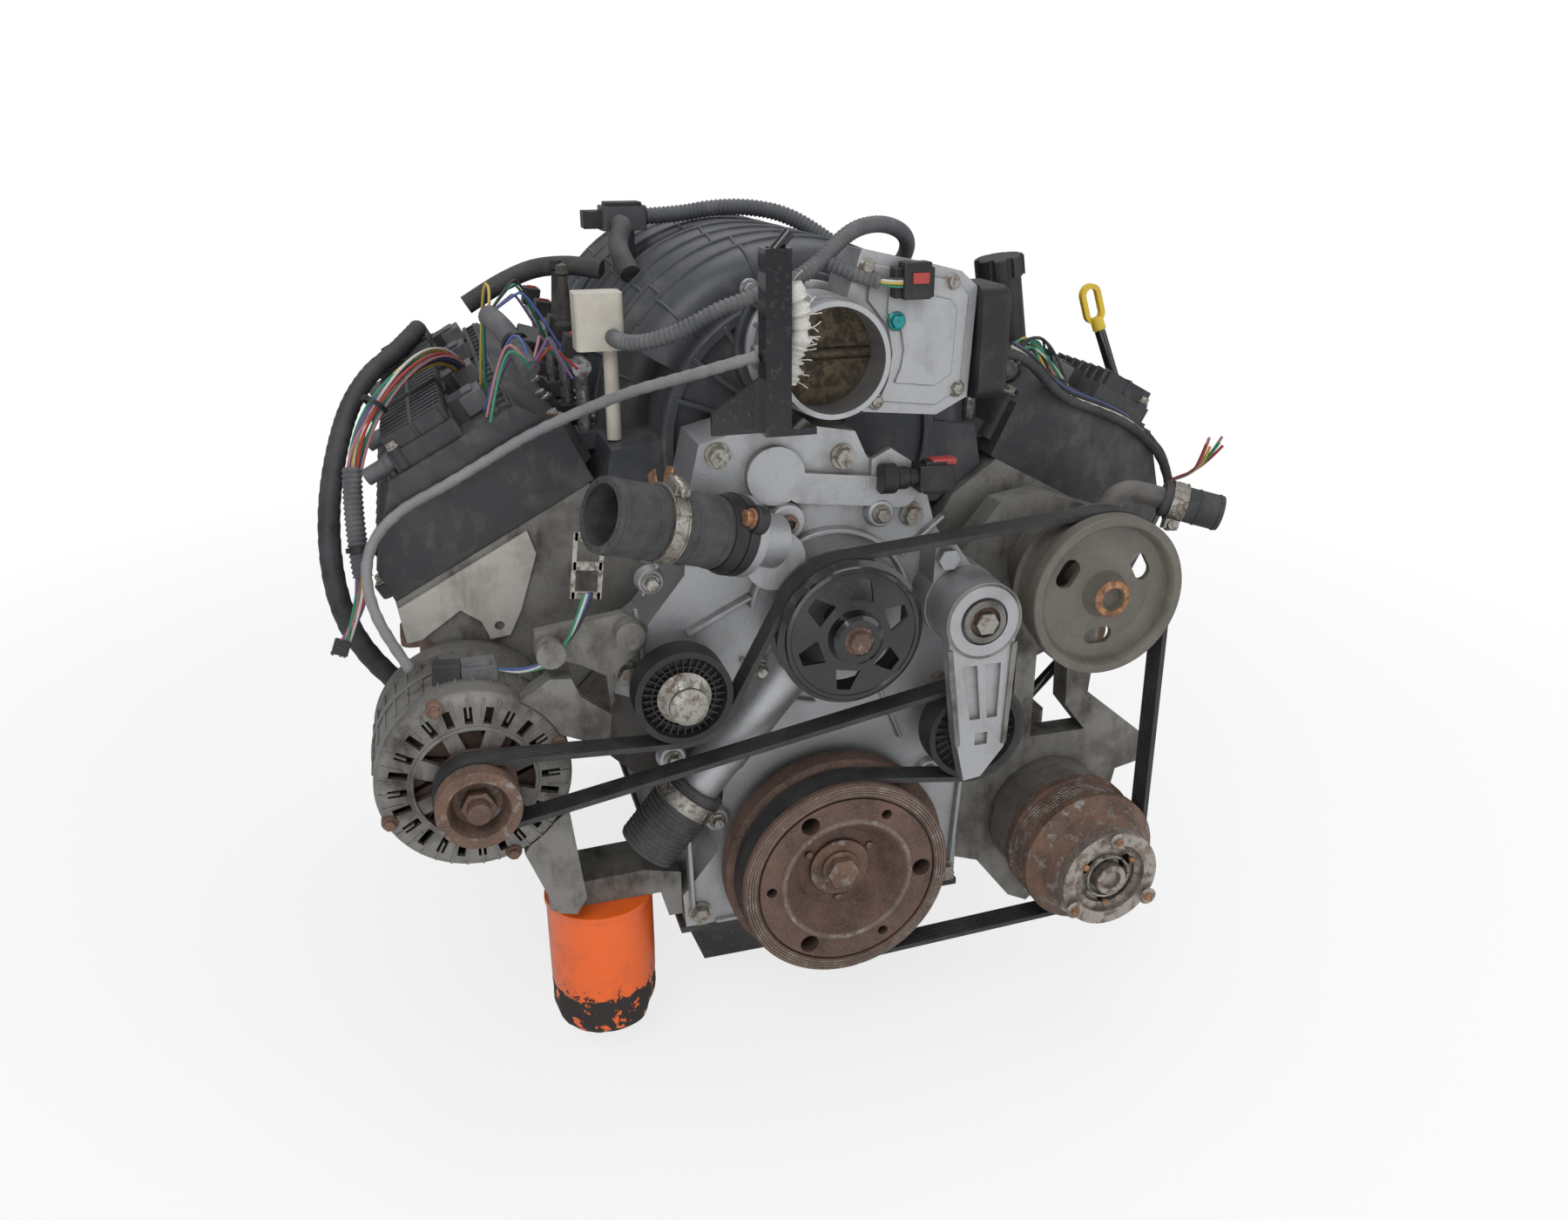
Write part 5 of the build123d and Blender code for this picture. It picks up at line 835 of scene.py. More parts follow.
class ENGINE_OT_alternator(bpy.types.Operator):
    """Alternator: fins, through bolts, terminal cap, fan and connector"""
    bl_idname = "engine.alternator"
    bl_label = "Alternator"

    def execute(self, context):
        centre = wheel_face(ALTERNATOR, -600)
        body = Form()
        for k in range(4):
            spoke = centre.turned(65 + 90 * k, 0)
            body.slab(spoke, [(22, -6), (46, -8), (46, 8), (22, 6)], -4.6, 1.6)
        body.turn(centre, [(20.5, -4.6), (20.5, 2.4), (24.5, 2.4), (26, 0), (26, -4.6)], 48, True)
        body.turn(centre, [(45, -1), (45, 1.8), (47.5, 1.8), (48.5, -1)], 64, True)
        for k in range(36):
            spoke = centre.turned(10 * k, 64)
            body.slab(spoke, [(-9, -0.9), (7, -0.9), (7, 0.9), (-9, 0.9)], -6, 0.9)
        for k in range(36):
            rib = centre.turned(10 * k + 5, 74)
            body.block(rib, 2.6, 2.2, -84, -24)
        body.turn(centre, [(73.4, -52), (75.8, -52), (75.8, -60), (73.4, -60)], 72, True)
        body.make("alternator_fins", "dirty_alloy", "engine", 0.4)
        bolts = Form()
        for k in range(4):
            lug = centre.turned(20 + 90 * k, 69)
            bolts.turn(lug, [(6.5, -7), (6.5, 0.6), (5.6, 1.4)], 24)
            bolts.bolt(Place(lug.at(0, 0, 0.8)), 8, 5.5, 6)
        bolts.make("alternator_bolts", "rusty_steel", "engine", 0.3)
        cap = Form()
        cap.turn(Place((-298, -545, 193.5), (0, 0, 1), (0, 1, 0)),
                 [(11, 0), (11, 3), (8, 4), (8, 9), (4, 10)], 24)
        cap.block(Place((-278, -560, 197), (0, 0, 1), (0, 1, 0)), 27, 24, -8, 6)
        cap.block(Place((-278, -566, 203), (0, 0, 1), (0, 1, 0)), 18, 8, -1, 3)
        cap.make("alternator_connector", "conduit_grey", "engine", 0.8)
        Form().block(Place((-300, -562, 196), (-1, 0, 0.1), (0, 1, 0)), 20, 15, -8, 13).make(
            "alternator_plug", "cord_black", "engine", 0.8)
        nut = Form()
        nut.turn(wheel_face(ALTERNATOR, -638), [(7.4, 0), (7.4, 8.5), (6, 9.5)], 24)
        nut.make("alternator_thread", "rusty_steel", "alternator")
        return {"FINISHED"}


class ENGINE_OT_cover_details(bpy.types.Operator):
    """Timing cover: ridges, bosses, sensor and bolts"""
    bl_idname = "engine.cover_details"
    bl_label = "Timing cover details"

    def execute(self, context):
        ridge = Form()
        for inner, outer, first, last, high in ((64, 69.5, 8, 172, 9.0), (80, 84, 205, 262, 6.0)):
            arc = []
            steps = 28
            for i in range(steps + 1):
                t = math.radians(first + (last - first) * i / steps)
                c, n = math.cos(t), math.sin(t)
                arc.append([Vector((inner * c, -575.5, 222 + inner * n)),
                            Vector((outer * c, -575.5, 222 + outer * n)),
                            Vector(((outer - 1) * c, -576 - high, 222 + (outer - 1) * n)),
                            Vector(((inner + 1) * c, -576 - high, 222 + (inner + 1) * n))])
            ridge.loft(arc)
        for a, b, wide, high in (((-120, -40), (-124, 90), 6, 6), ((-124, 90), (-92, 130), 6, 6),
                                 ((120, -40), (126, 60), 6, 6), ((-150, 150), (-158, 240), 5, 5),
                                 ((-152, 250), (-110, 330), 5, 5), ((60, 262), (96, 292), 5, 6),
                                 ((-100, -60), (100, -60), 5, 4), ((-62, 100), (-40, 158), 5, 6),
                                 ((40, 158), (66, 96), 5, 6), ((-66, 240), (-118, 214), 6, 7)):
            start, end = Vector((a[0], -575.6, a[1])), Vector((b[0], -575.6, b[1]))
            way = (end - start).normalized()
            side = way.cross(Vector((0, 1, 0)))
            ridge.loft([[p - side * wide / 2, p + side * wide / 2,
                         p + side * (wide / 2 - 1.2) + Vector((0, -high, 0)),
                         p - side * (wide / 2 - 1.2) + Vector((0, -high, 0))] for p in (start, end)])
        for x, z, r, high in ((-38, 301, 14, 14), (40, 300, 11, 10), (-146, 262, 10, 9), (-134, 108, 11, 9),
                              (-60, 178, 9, 9), (62, 176, 9, 9), (94, 60, 10, 8), (-98, 44, 10, 8)):
            ridge.turn(front(x, -575.5, z), [(r + 2, 0), (r + 1, 1.5), (r, high - 1), (r - 1, high)], 32)
        ridge.make("cover_ridges", "cast_alloy", "engine", 0.6)
        bolts = Form()
        for x, z, across, low in ((-146, 262, 10, 9), (-134, 108, 10, 9), (-60, 178, 9, 9), (62, 176, 9, 9),
                                  (94, 60, 9, 8), (-98, 44, 9, 8), (40, 300, 10, 10)):
            bolts.bolt(front(x, -575.5 - low, z), across, 8, across * 0.78)
        bolts.make("cover_bolts", "zinc_steel", "engine", 0.3)
        socket = Form()
        socket.turn(front(-38, -589.5, 301), [(7, 0), (7, 5.5), (6.2, 6.2), (4, 6.2), (3.6, 2)], 28)
        socket.make("socket_screw", "rusty_steel", "engine")
        sensor = Form()
        place = Place((46, -590, 330), (1, 0, -0.03))
        sensor.turn(place, [(12, -10), (12, 2), (9, 3), (9, 12), (7.5, 13), (7.5, 26)], 32)
        sensor.block(place, 19, 21, 20, 50)
        sensor.block(place, 12, 26, 26, 44)
        sensor.make("front_sensor", "black_plastic", "engine", 0.8)
        Form().block(Place((86, -590, 341), (1, 0, 0), (0, 0, 1)), 11, 5, -8, 12).make(
            "sensor_lock", "red_plastic", "engine", 0.5)
        ear = Form()
        ear.slab(Place((46, -576, 330)), [(-14, -14), (18, -12), (20, 10), (2, 22), (-14, 14)], -1, 6)
        ear.make("sensor_foot", "cast_alloy", "engine", 0.6)
        return {"FINISHED"}


class ENGINE_OT_throttle_details(bpy.types.Operator):
    """Throttle body: ribs, screws and connector"""
    bl_idname = "engine.throttle_details"
    bl_label = "Throttle details"

    def execute(self, context):
        face = front(0, -565, 0)
        body = Form()
        outline = [(31, 463), (33, 490), (106, 474), (114, 464), (110, 392), (90, 380), (42, 386), (49, 402),
                   (52, 422), (48, 442)]
        body.slab(face, outline, -0.5, 2.4)
        body.slab(face, [(82 + (a - 82) * 0.7, 432 + (b - 432) * 0.7) for a, b in outline], 1.4, 4.0)
        body.turn(front(0, -515, 422), [(45.8, 0), (52, 0), (52, 5), (46.4, 9), (45.8, 9)], 64, True)
        for k in range(5):
            body.block(front(0, -537, 422).turned(128 + 28 * k, 47.5), 5.5, 3, -20, 14)
        for x, z in ((30, 487), (100, 474), (108, 392), (40, 386), (-42, 462), (-42, 382)):
            body.turn(front(x, -540, z), [(7.5, -24), (7.5, 25), (6.5, 26)], 24)
        body.make("throttle_panel", "cast_alloy", "engine", 0.6)
        bolts = Form()
        for x, z in ((30, 487), (100, 474), (108, 392), (40, 386), (-42, 462), (-42, 382)):
            bolts.bolt(front(x, -565.6, z), 8.5, 6, 6.6)
        bolts.make("throttle_bolts", "zinc_steel", "engine", 0.3)
        Form().bolt(front(54, -568.6, 447), 10, 6.5, 7.4).make("teal_bolt", "teal_screw", "engine", 0.3)
        plug = Form()
        plug.block(front(64, -565, 476), 32, 22, -1, 14)
        plug.block(front(64, -579, 478), 22, 27, -8, 6)
        plug.make("throttle_plug", "black_plastic", "engine", 0.8)
        Form().block(front(66, -585, 480), 13, 8, -1, 1.6).make("throttle_lock", "red_plastic", "engine", 0.4)
        ribs = Form()
        side = Place((148.2, -545, 427), (1, 0, 0), (0, 0, 1))
        for k in range(5):
            ribs.block(side, 40, 3, -3, 1.8)
            side = Place(side.at(0, -13 if k % 2 else 13 * (k + 1)), (1, 0, 0), (0, 0, 1))
        ribs.make("actuator_ribs", "black_plastic", "engine", 0.5)
        return {"FINISHED"}


class ENGINE_OT_covers(bpy.types.Operator):
    """Rocker covers: ribs, bolts, and the coils' ribs and connectors"""
    bl_idname = "engine.covers"
    bl_label = "Rocker covers"

    def execute(self, context):
        ribs, bolts, fins, plugs = Form(), Form(), Form(), Form()
        for side, rear, ys in ((-1, -34.0, (-89.8, -203, -316.4, -429.7)),
                               (1, -57.0, (-113, -226.5, -339.8, -453))):
            middle, long = rear - 224, 448
            for inward, wide, high in ((57, 4, 3.4), (150, 4, 3.4), (161, 3, 2.4)):
                ribs.block(cover_place(side, inward, middle), long - 8, wide, -0.5, high)
            for k in range(19):
                ribs.block(cover_place(side, 156, rear - 12 - 23.6 * k), 3, 12, -0.5, 2.6)
            slope = math.atan2(54, 49)
            for k in range(15):
                y = rear - 16 - 29.6 * k
                base = cover_place(side, 27.5, y, 57)
                out = (base.out * math.cos(slope) - base.up * math.sin(slope))
                ribs.block(Place(base.origin, out, base.up), 3.4, 62, -1.2, 2.2)
            for k in range(6):
                y = rear - 20 - 82 * k
                flange = cover_place(side, -1.5, y, 6)
                ribs.turn(flange, [(9, -5), (9, 7), (8, 8)], 24)
                bolts.bolt(Place(flange.at(0, 0, 7.6), flange.out, flange.up), 9, 7, 7)
                lug = cover_place(side, 186, y, 52)
                ribs.turn(lug, [(8.5, -40), (8.5, 2), (7.5, 3)], 24)
                bolts.bolt(Place(lug.at(0, 0, 2.6), lug.out, lug.up), 9, 7, 7)
            for y in ys:
                top = cover_place(side, 90, y, 84.3)
                for k in range(7):
                    fins.block(Place(top.at(-42 + 14 * k, 0), top.out, top.up), 3.2, 54, -0.2, 29.4)
                fins.block(Place(top.at(0, 0), top.out, top.up), 94, 3, 14, 30)
                fins.turn(Place(top.at(-45, -22), top.out, top.up), [(6, 0), (6, 17), (5, 18)], 20)
                fins.turn(Place(top.at(45, -22), top.out, top.up), [(6, 0), (6, 17), (5, 18)], 20)
                bolts.bolt(Place(top.at(-45, -22, 17.8), top.out, top.up), 8, 6, 5.6)
                bolts.bolt(Place(top.at(45, -22, 17.8), top.out, top.up), 8, 6, 5.6)
                plug = Place(top.at(0, 44, 9.5), top.up, top.out)
                plugs.block(plug, 30, 17, -6, 14)
                plugs.block(plug, 20, 22, -2, 8)
                foot = Place(top.at(30, -29, 6), -top.up, top.out)
                plugs.turn(foot, [(9, -2), (9, 6), (7, 8), (7, 26)], 20)
        ribs.make("cover_ribs", "cover_plastic", "engine", 0.5)
        fins.make("coil_fins", "coil_plastic", "engine", 0.6)
        plugs.make("coil_connectors", "conduit_grey", "engine", 0.8)
        bolts.make("cover_screws", "zinc_steel", "engine", 0.3)
        return {"FINISHED"}


class ENGINE_OT_manifold_details(bpy.types.Operator):
    """Intake manifold: ribs, bosses, seam and the throttle flange"""
    bl_idname = "engine.manifold_details"
    bl_label = "Manifold details"

    def execute(self, context):
        ribs, bolts = Form(), Form()
        barrel_z, runner_reach = 345, 130.5
        rib_section = ((156.4, -2.2), (159.4, -1.4), (159.4, 1.4), (156.4, 2.2))
        for side, ys in ((-1, (-73.1, -186.4, -299.7, -413)), (1, (-129.7, -243, -356.3, -469.6))):
            for y in ys:
                arc, lane = [], []
                for i in range(30):
                    t = math.radians(4 + 140 * i / 29)
                    c, n = side * math.cos(t), math.sin(t)
                    arc.append([Vector((reach * c, y + aside, barrel_z + reach * n))
                                for reach, aside in rib_section])
                    lane.append(Vector((runner_reach * c, y, barrel_z + runner_reach * n)))
                ribs.loft(arc)
                for i in (3, 9, 15, 21, 27):
                    way = (lane[i + 1] - lane[i]).normalized()
                    ribs.turn(Place(lane[i], way, (0, 1, 0)),
                              [(26, -1.6), (28.2, -1.4), (28.2, 1.4), (26, 1.6)], 40, True)
                foot = Place((side * 157, y + 17, 344), (0, 0, 1), (0, 1, 0))
                bolts.bolt(foot, 10, 8, 8)
        for k in range(9):
            t = math.radians(20 + 17.5 * k)
            c, n = math.cos(t), math.sin(t)
            ribs.block(Place((76 * c, -499.6, barrel_z + 76 * n), (0, -1, 0), (-n, 0, c)), 76, 4, -1, 8)
        ribs.turn(front(0, -499.5, barrel_z),
                  [(108, -0.5), (108, 6), (116, 6), (117.8, 4), (117.8, -0.5)], 96, True)
        ribs.turn(front(0, -500, 422), [(50.4, 0), (58, 0), (58, 10), (56, 12), (50.4, 12)], 64, True)
        ribs.make("manifold_ribs", "manifold_plastic", "engine", 0.7)
        for x, z in ((-46, 468), (46, 468), (-46, 376), (46, 376)):
            bolts.bolt(front(x, -511, z), 10, 7, 8)
        bolts.make("manifold_bolts", "rail_steel", "engine", 0.3)
        box = Form()
        top = Place((-98, -250, 516), (0, 0, 1), (0, 1, 0))
        box.block(top, 34, 24, -0.5, 3.5)
        box.block(Place(top.at(-26, 0, -12), -top.right, top.out), 22, 16, -6, 12)
        box.make("sensor_box", "black_plastic", "engine", 0.8)
        return {"FINISHED"}


class ENGINE_OT_hose_details(bpy.types.Operator):
    """Hoses: ribs, cut ends, clamp screws and the elbow's flange"""
    bl_idname = "engine.hose_details"
    bl_label = "Hose details"

    def execute(self, context):
        up = Vector((-0.889, -0.333, 0.313)).normalized()
        start = Vector((-85, -607, 301))
        neck = Place(start, up)
        rubber, bands, tabs, flange, rust = Form(), Form(), Form(), Form(), Form()
        for k in range(26):
            lug = neck.turned(360 / 26 * k, 24.6)
            rubber.block(lug, 1.4, 1.4, 117.4, 118.5 + 0.7 * math.sin(3.1 * k))
        for h in (24, 50, 84, 112):
            rubber.turn(neck, [(26.9, h - 1.5), (27.6, h - 0.8), (27.6, h + 0.8), (26.9, h + 1.5)], 56, True)
        down = Vector((-0.640, 0, -0.768)).normalized()
        lower = Place(Vector((-93, -581, 106)) + down * 32, down)
        for k in range(17):
            h = 1.5 + 4.1 * k
            rubber.turn(lower, [(24.8, h - 1.2), (26.0, h - 0.4), (26.0, h + 0.4), (24.8, h + 1.2)], 48, True)
        side = Vector((0.874, -0.432, -0.221)).normalized()
        outer = Place(Vector((266, -566, 298)) + side * 36, side)
        for h in (2, 30, 47):
            rubber.turn(outer, [(14.9, h - 1), (15.6, h - 0.5), (15.6, h + 0.5), (14.9, h + 1)], 40, True)
        rubber.make("hose_ribs", "hose_rubber", "engine")
        for place, radius, h in ((neck, 28.8, 62), (lower, 26.8, 8), (outer, 16.8, 6)):
            for edge in (h + 0.6, h + 12.4):
                bands.turn(place, [(radius - 0.4, edge - 0.6), (radius + 0.7, edge - 0.6),
                                   (radius + 0.7, edge + 0.6), (radius - 0.4, edge + 0.6)], 56, True)
            box = place.turned(70 if place is neck else 250, radius)
            bands.block(Place(box.at(0, 0, h + 6.5), box.right, box.out), 15, 12, -1, 7)
            screw = Place(box.at(4.2, -9, h + 6.5), -box.up, box.out)
            bands.turn(screw, [(4.2, -16), (4.2, 2), (3.6, 3)], 20)
            for k in range(14):
                slit = place.turned(25.7 * k, radius)
                bands.block(Place(slit.at(0, 0, h + 6.5), slit.right, slit.out), 1.2, 6, -0.5, 0.5)
        bands.make("clamp_screws", "zinc_steel", "engine", 0.2)
        for turn in (96, 128):
            ear = neck.turned(turn, 28.4)
            tabs.block(Place(ear.at(0, 0, 68.5), ear.right, ear.out), 9, 1.6, -1, 13)
        tabs.make("clamp_tabs", "copper_rust", "engine", 0.3)
        for turn in (35, 215):
            lug = neck.turned(turn, 31)
            flange.turn(lug, [(10, -1), (11, 0), (11, 8.4), (10, 9.4)], 32)
            flange.block(neck.turned(turn, 22), 20, 17, -1, 9.4)
            rust.bolt(Place(lug.at(0, 0, 9.2), up), 11, 7, 8)
        flange.turn(neck, [(27.2, 9), (30.5, 10), (30.5, 12), (27.8, 20), (27.2, 20)], 48, True)
        flange.make("elbow_flange", "black_plastic", "engine", 0.8)
        rust.make("flange_bolts", "copper_rust", "engine", 0.3)
        return {"FINISHED"}


class ENGINE_OT_oil_filter(bpy.types.Operator):
    """Oil filter: rolled seam, dented and scraped can"""
    bl_idname = "engine.oil_filter"
    bl_label = "Oil filter"

    def execute(self, context):
        around, rings = 72, []
        profile = [(44, -25.2), (46.6, -26), (46.9, -30), (45.6, -32), (45.4, -35)]
        profile += [(45.5, -38 - 4 * k) for k in range(25)]
        profile += [(44.4, -142), (41.5, -147), (36, -151.5), (27, -155), (15, -157), (5, -157.6)]
        for radius, height in profile:
            ring = []
            for k in range(around):
                turn = 2 * math.pi * k / around
                low = min(1.0, max(0.0, (-height - 92) / 45))
                dent = noise.noise(Vector((math.cos(turn) * 1.7, math.sin(turn) * 1.7, height / 21)))
                crease = abs(noise.noise(Vector((math.cos(turn) * 3.1 + 7, math.sin(turn) * 3.1,
                                                 height / 13))))
                r = radius - low * radius * (0.07 * max(0.0, dent + 0.15) + 0.05 * crease)
                lift = low * 5 * max(0.0, dent) if height < -140 else 0.0
                ring.append(Vector((-196 + r * math.cos(turn), -548 + r * math.sin(turn), height + lift)))
            rings.append(ring)
        can = Form().loft(rings).make("filter_can", "filter_orange", "engine", 0.0, 50)
        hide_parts("oil_filter")
        return {"FINISHED"}


class ENGINE_OT_wiring(bpy.types.Operator):
    """Bundles of thin coloured wires, their plugs and the short conduits that hold them"""
    bl_idname = "engine.wiring"
    bl_label = "Wiring"

    def execute(self, context):
        rng = random.Random(11)
        bundles = {}
        words = ("green", "yellow", "pink", "blue", "white", "violet", "black", "red")

        def wire(group, points, word, radius=1.15, stray=3.0):
            moved = []
            for i, p in enumerate(points):
                inside = 0 < i < len(points) - 1
                moved.append(Vector(p) + Vector([rng.uniform(-stray, stray) * inside for _ in range(3)]))
            bundles.setdefault((group, word), Form()).rod(moved, radius, 6)

        # along the left loom, down to a bare end above the alternator
        trunk = [(-259, -318, 381), (-270, -348, 402), (-300, -404, 407), (-334, -436, 380),
                 (-354, -452, 345), (-359, -470, 300),
                 (-356, -488, 255), (-366, -498, 222), (-378, -503, 206)]
        for k in range(11):
            fan = Vector((5.5 * math.cos(k * 1.9), 3.0 * math.sin(k * 2.3), 5.5 * math.sin(k * 1.9)))
            line = [Vector(p) + fan * (1.0 if i < 5 else 0.5) for i, p in enumerate(trunk)]
            line[-1] = Vector((-378 - (k % 4) * 3, -503 - (k % 3) * 3, 206 - (k % 5) * 2.5))
            wire("loom_left", line, words[k % 8], 1.2, 2.0)
        # over the left cover's inner edge, from a short conduit to the coils and injectors
        stub = [(-238, -395, 440), (-231, -420, 436), (-222, -448, 424), (-214, -474, 408)]
        for k in range(16):
            y = -330 - 11 * k
            reach = rng.uniform(8, 26)
            end = (-176 - rng.uniform(0, 9), y + rng.uniform(-12, 12), 402 + rng.uniform(-3, 6))
            if k % 2:
                out = rng.uniform(0, 14)
                end = (-240 - out, y, 378 - 0.53 * out)
            root = stub[0] if k < 7 else stub[3]
            middle = ((root[0] + end[0]) / 2, (root[1] + end[1]) / 2, max(root[2], end[2]) + reach)
            wire("loom_left", [root, ((root[0] + middle[0]) / 2 + 4, (root[1] + middle[1]) / 2,
                                      middle[2] - 2), middle, end],
                 words[(k * 3 + k // 4) % 8], 1.2, 4.0)
        # right side: loops beside the actuator and along the loom
        for k in range(13):
            root = (163 + rng.uniform(-2, 2), -520 + rng.uniform(-4, 4), 402 + rng.uniform(-4, 4))
            end = (222 + 3.2 * k, -482 + rng.uniform(-12, 12), 378 - 0.9 * k + rng.uniform(-3, 3))
            high = 408 + rng.uniform(-6, 12)
            wire("loom_right", [root, (182, -508 + rng.uniform(-5, 5), 394),
                                (202 + rng.uniform(-6, 6), -492, high),
                  (226 + rng.uniform(-8, 8), -484, high - 5), end],
                 ("green", "black", "white", "green", "yellow", "black", "pink", "black")[k % 8], 1.2, 4.0)
        for k in range(6):
            lift = Vector((2.4 * math.cos(k), 2.5 * math.sin(k * 1.7) + 2, 5.4 + 1.2 * (k % 3)))
            line = [Vector(p) + lift for p in ROUTES["loom_right"][1:]]
            wire("loom_right", line, ("black", "green", "black", "white", "black", "blue")[k], 1.1, 1.0)
        for k in range(6):
            tip = (329 + 4.2 * k, -590 + 3 * (k % 3), 337 + 5 * math.sin(k * 2.1))
            wire("loom_right", [(350, -513, 283), (349, -532, 292), (340, -560, 304),
                                (332 + 2 * k, -580, 320), tip],
                 ("red", "pink", "yellow", "green", "pink", "red")[k], 1.3, 1.0)
        # from the stamped plate to the alternator's plug
        for k, word in enumerate(("black", "blue", "white", "green")):
            wire("cable_front", [(-192 - 2 * k, -594, 262), (-201 - 2 * k, -594, 238),
                                 (-222, -590, 214 - 2 * k),
                  (-244, -584, 203 - k), (-262, -572, 199), (-268, -565, 199)], word, 1.2, 1.2)
        # from the throttle's plug into its conduit
        for k, word in enumerate(("green", "yellow", "white", "black")):
            wire("conduit_front", [(56, -582, 474 + 2 * k), (48, -581, 474 + 2 * k), (40, -577, 476 + k),
                                   (34, -572, 478)], word, 1.1, 0.8)
        for (group, word), form in bundles.items():
            form.make("wires_" + group + "_" + word, "wire_" + word)

        sleeves = Form()
        for points, radius in ((stub, 9.0), ([(-356, -456, 335), (-360, -470, 300), (-357, -487, 255)], 8.0),
                               ([(6, -551, 489), (14, -560, 485), (26, -568, 480), (38, -574, 477)], 6.0),
                               ([(160, -528, 412), (170, -518, 400), (184, -508, 392)], 7.5)):
            line, radii, _ = corrugated(centreline("steer", mm(points)), radius / 1000, 0.0042)
            sleeves.rod([p * 1000 for p in line], [r * 1000 for r in radii], 16, True)
        sleeves.make("short_conduits", "conduit_grey", "engine")
        plugs = Form()
        for k in range(4):
            y = (-89.8, -203, -316.4, -429.7)[k]
            plugs.block(Place((-171, y + 22, 413), (0.2, 0, 1), (0, 1, 0)), 17, 24, -8, 10)
            y = (-113, -226.5, -339.8, -453)[k]
            plugs.block(Place((171, y + 22, 413), (-0.2, 0, 1), (0, 1, 0)), 17, 24, -8, 10)
        plugs.block(Place((-212, -440, 424), (0.3, -0.4, 1), (0, 1, 0)), 18, 26, -7, 8)
        plugs.block(Place((-378, -503, 207), (-0.4, -0.3, -1), (0, 1, 0)), 12, 12, -3, 9)
        plugs.make("wire_plugs", "black_plastic", "engine", 0.8)
        locks = Form()
        for k in range(4):
            y = (-89.8, -203, -316.4, -429.7)[k]
            locks.block(Place((-169, y + 22, 423), (0.2, 0, 1), (0, 1, 0)), 10, 5, -1, 1.6)
        locks.make("plug_locks", "red_plastic", "engine", 0.4)
        ties = Form()
        for x, y, z, way, r in ((-334, -436, 380, (-0.6, -0.35, -0.7), 9.5),
                                (-357, -480, 275, (0, -0.35, -1), 9.4),
                                (184, -507, 391, (0.6, 0.4, -0.4), 9.0),
                                (-222, -448, 424, (0.3, -0.9, -0.4), 10)):
            ties.turn(Place((x, y, z), way, (1, 0, 0.3)), [(r, -2), (r + 1.2, -2), (r + 1.2, 2), (r, 2)], 28,
                      True)
        ties.make("wire_ties", "black_plastic", "engine")
        plate = Form()
        frame_at = Place((-194, -592, 283), (0, -1, 0), (0.12, 0, 1))
        for a, wide in ((-10, 4), (10, 4)):
            plate.block(Place(frame_at.at(a, 0), frame_at.out, frame_at.up), wide, 52, -1, 1)
        for b, tall in ((-23, 6), (0, 7), (22.5, 7)):
            plate.block(Place(frame_at.at(0, b), frame_at.out, frame_at.up), 22, tall, -1, 1)
        plate.make("stamped_plate", "zinc_steel", "engine", 0.4)
        return {"FINISHED"}


class ENGINE_OT_stay_details(bpy.types.Operator):
    """Rod in the square stay, and the torn fibre wrap beside it"""
    bl_idname = "engine.stay_details"
    bl_label = "Stay details"

    def execute(self, context):
        Form().rod([(-62, -617, 500), (-46, -617, 518)], 4.2, 20, True).make(
            "stay_rod", "black_painted", "engine", 0.3)
        rng = random.Random(5)
        line = [Vector(p) * 1000 for p in spaced(centreline("steer", mm(
            [(-44, -612, 482), (-38, -613, 466), (-36, -612, 448), (-42, -610, 430),
             (-46, -608, 414)])), 0.002)[0]]
        wrap = Form().rod(line, [7.5 + rng.uniform(-2.2, 2.4) for _ in line], 14, True)
        for k in range(46):
            root = rng.choice(line)
            tip = root + Vector((rng.uniform(2, 17), rng.uniform(-7, 3), rng.uniform(-12, 12)))
            bend = (root + tip) / 2 + Vector([rng.uniform(-4, 4) for _ in range(3)])
            wrap.rod([root, bend, tip], 0.45, 5)
        wrap.make("torn_wrap", "torn_fibre", "engine", 0.0, 60)
        return {"FINISHED"}


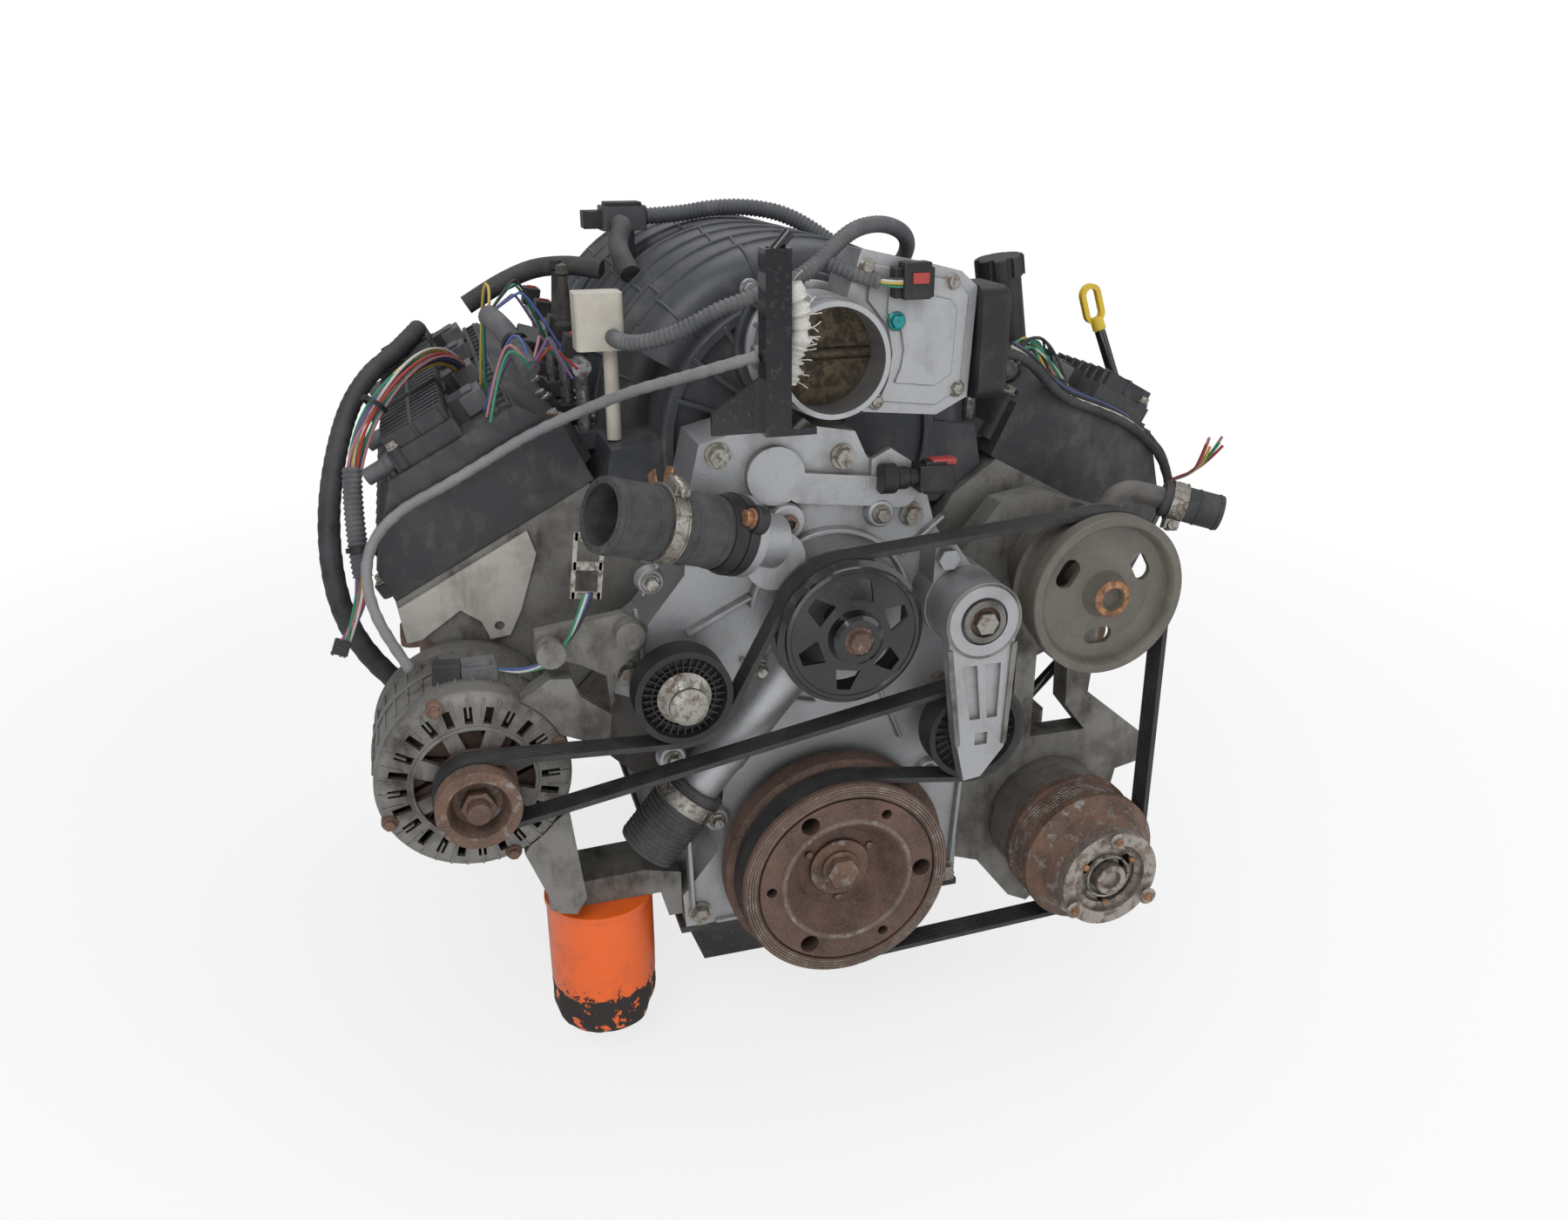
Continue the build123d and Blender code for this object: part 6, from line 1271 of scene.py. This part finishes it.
class ENGINE_OT_looms(bpy.types.Operator):
    """Taped looms and ribbed conduits that lie free on the engine"""
    bl_idname = "engine.looms"
    bl_label = "Looms"

    def execute(self, context):
        sizes = context.scene.engine_sizes
        kinds = {"loom_left": (9.0, "taped", "cord_black"), "cable_front": (4.5, "taped", "cord_grey"),
                 "conduit_front": (6.5, "ribbed", "conduit_grey"),
                 "conduit_top": (8.0, "ribbed", "conduit_grey"),
                 "loom_right": (4.5, "taped", "cord_black")}
        for name, (radius, kind, material) in kinds.items():
            line = centreline(name, mm(ROUTES[name]))
            radius = radius / 1000
            if kind == "ribbed":
                points, radii, length = corrugated(line, radius, sizes.rib_pitch)
            else:
                points, radii, length = taped(line, radius, sizes.tape_turn)
            made = tube(name + "_sleeve", points, radii, material, "engine", 20)
            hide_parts(name)
        return {"FINISHED"}


class ENGINE_PT_looks(bpy.types.Panel):
    """Lists the steps of the engine's looks"""
    bl_label = "Engine"
    bl_idname = "ENGINE_PT_looks"
    bl_space_type = "VIEW_3D"
    bl_region_type = "UI"
    bl_category = "Engine"

    def draw(self, context):
        for step in STEPS:
            self.layout.operator(step.bl_idname)
        for group in (context.scene.engine_colours, context.scene.engine_sizes):
            for key in group.__annotations__:
                self.layout.prop(group, key)


STEPS = (ENGINE_OT_stage, ENGINE_OT_wiring, ENGINE_OT_looms, ENGINE_OT_finishes, ENGINE_OT_pulleys,
         ENGINE_OT_alternator,
         ENGINE_OT_cover_details, ENGINE_OT_throttle_details, ENGINE_OT_covers, ENGINE_OT_manifold_details,
         ENGINE_OT_hose_details, ENGINE_OT_oil_filter, ENGINE_OT_stay_details)
CLASSES = (EngineColours, EngineSizes, *STEPS, ENGINE_PT_looks)


def register():
    for cls in CLASSES:
        bpy.utils.register_class(cls)
    bpy.types.Scene.engine_colours = PointerProperty(type=EngineColours)
    bpy.types.Scene.engine_sizes = PointerProperty(type=EngineSizes)


def unregister():
    del bpy.types.Scene.engine_sizes
    del bpy.types.Scene.engine_colours
    for cls in reversed(CLASSES):
        bpy.utils.unregister_class(cls)


def main():
    register()
    for step in STEPS:
        group, name = step.bl_idname.split(".")
        getattr(getattr(bpy.ops, group), name)()


if __name__ == "__main__":
    main()
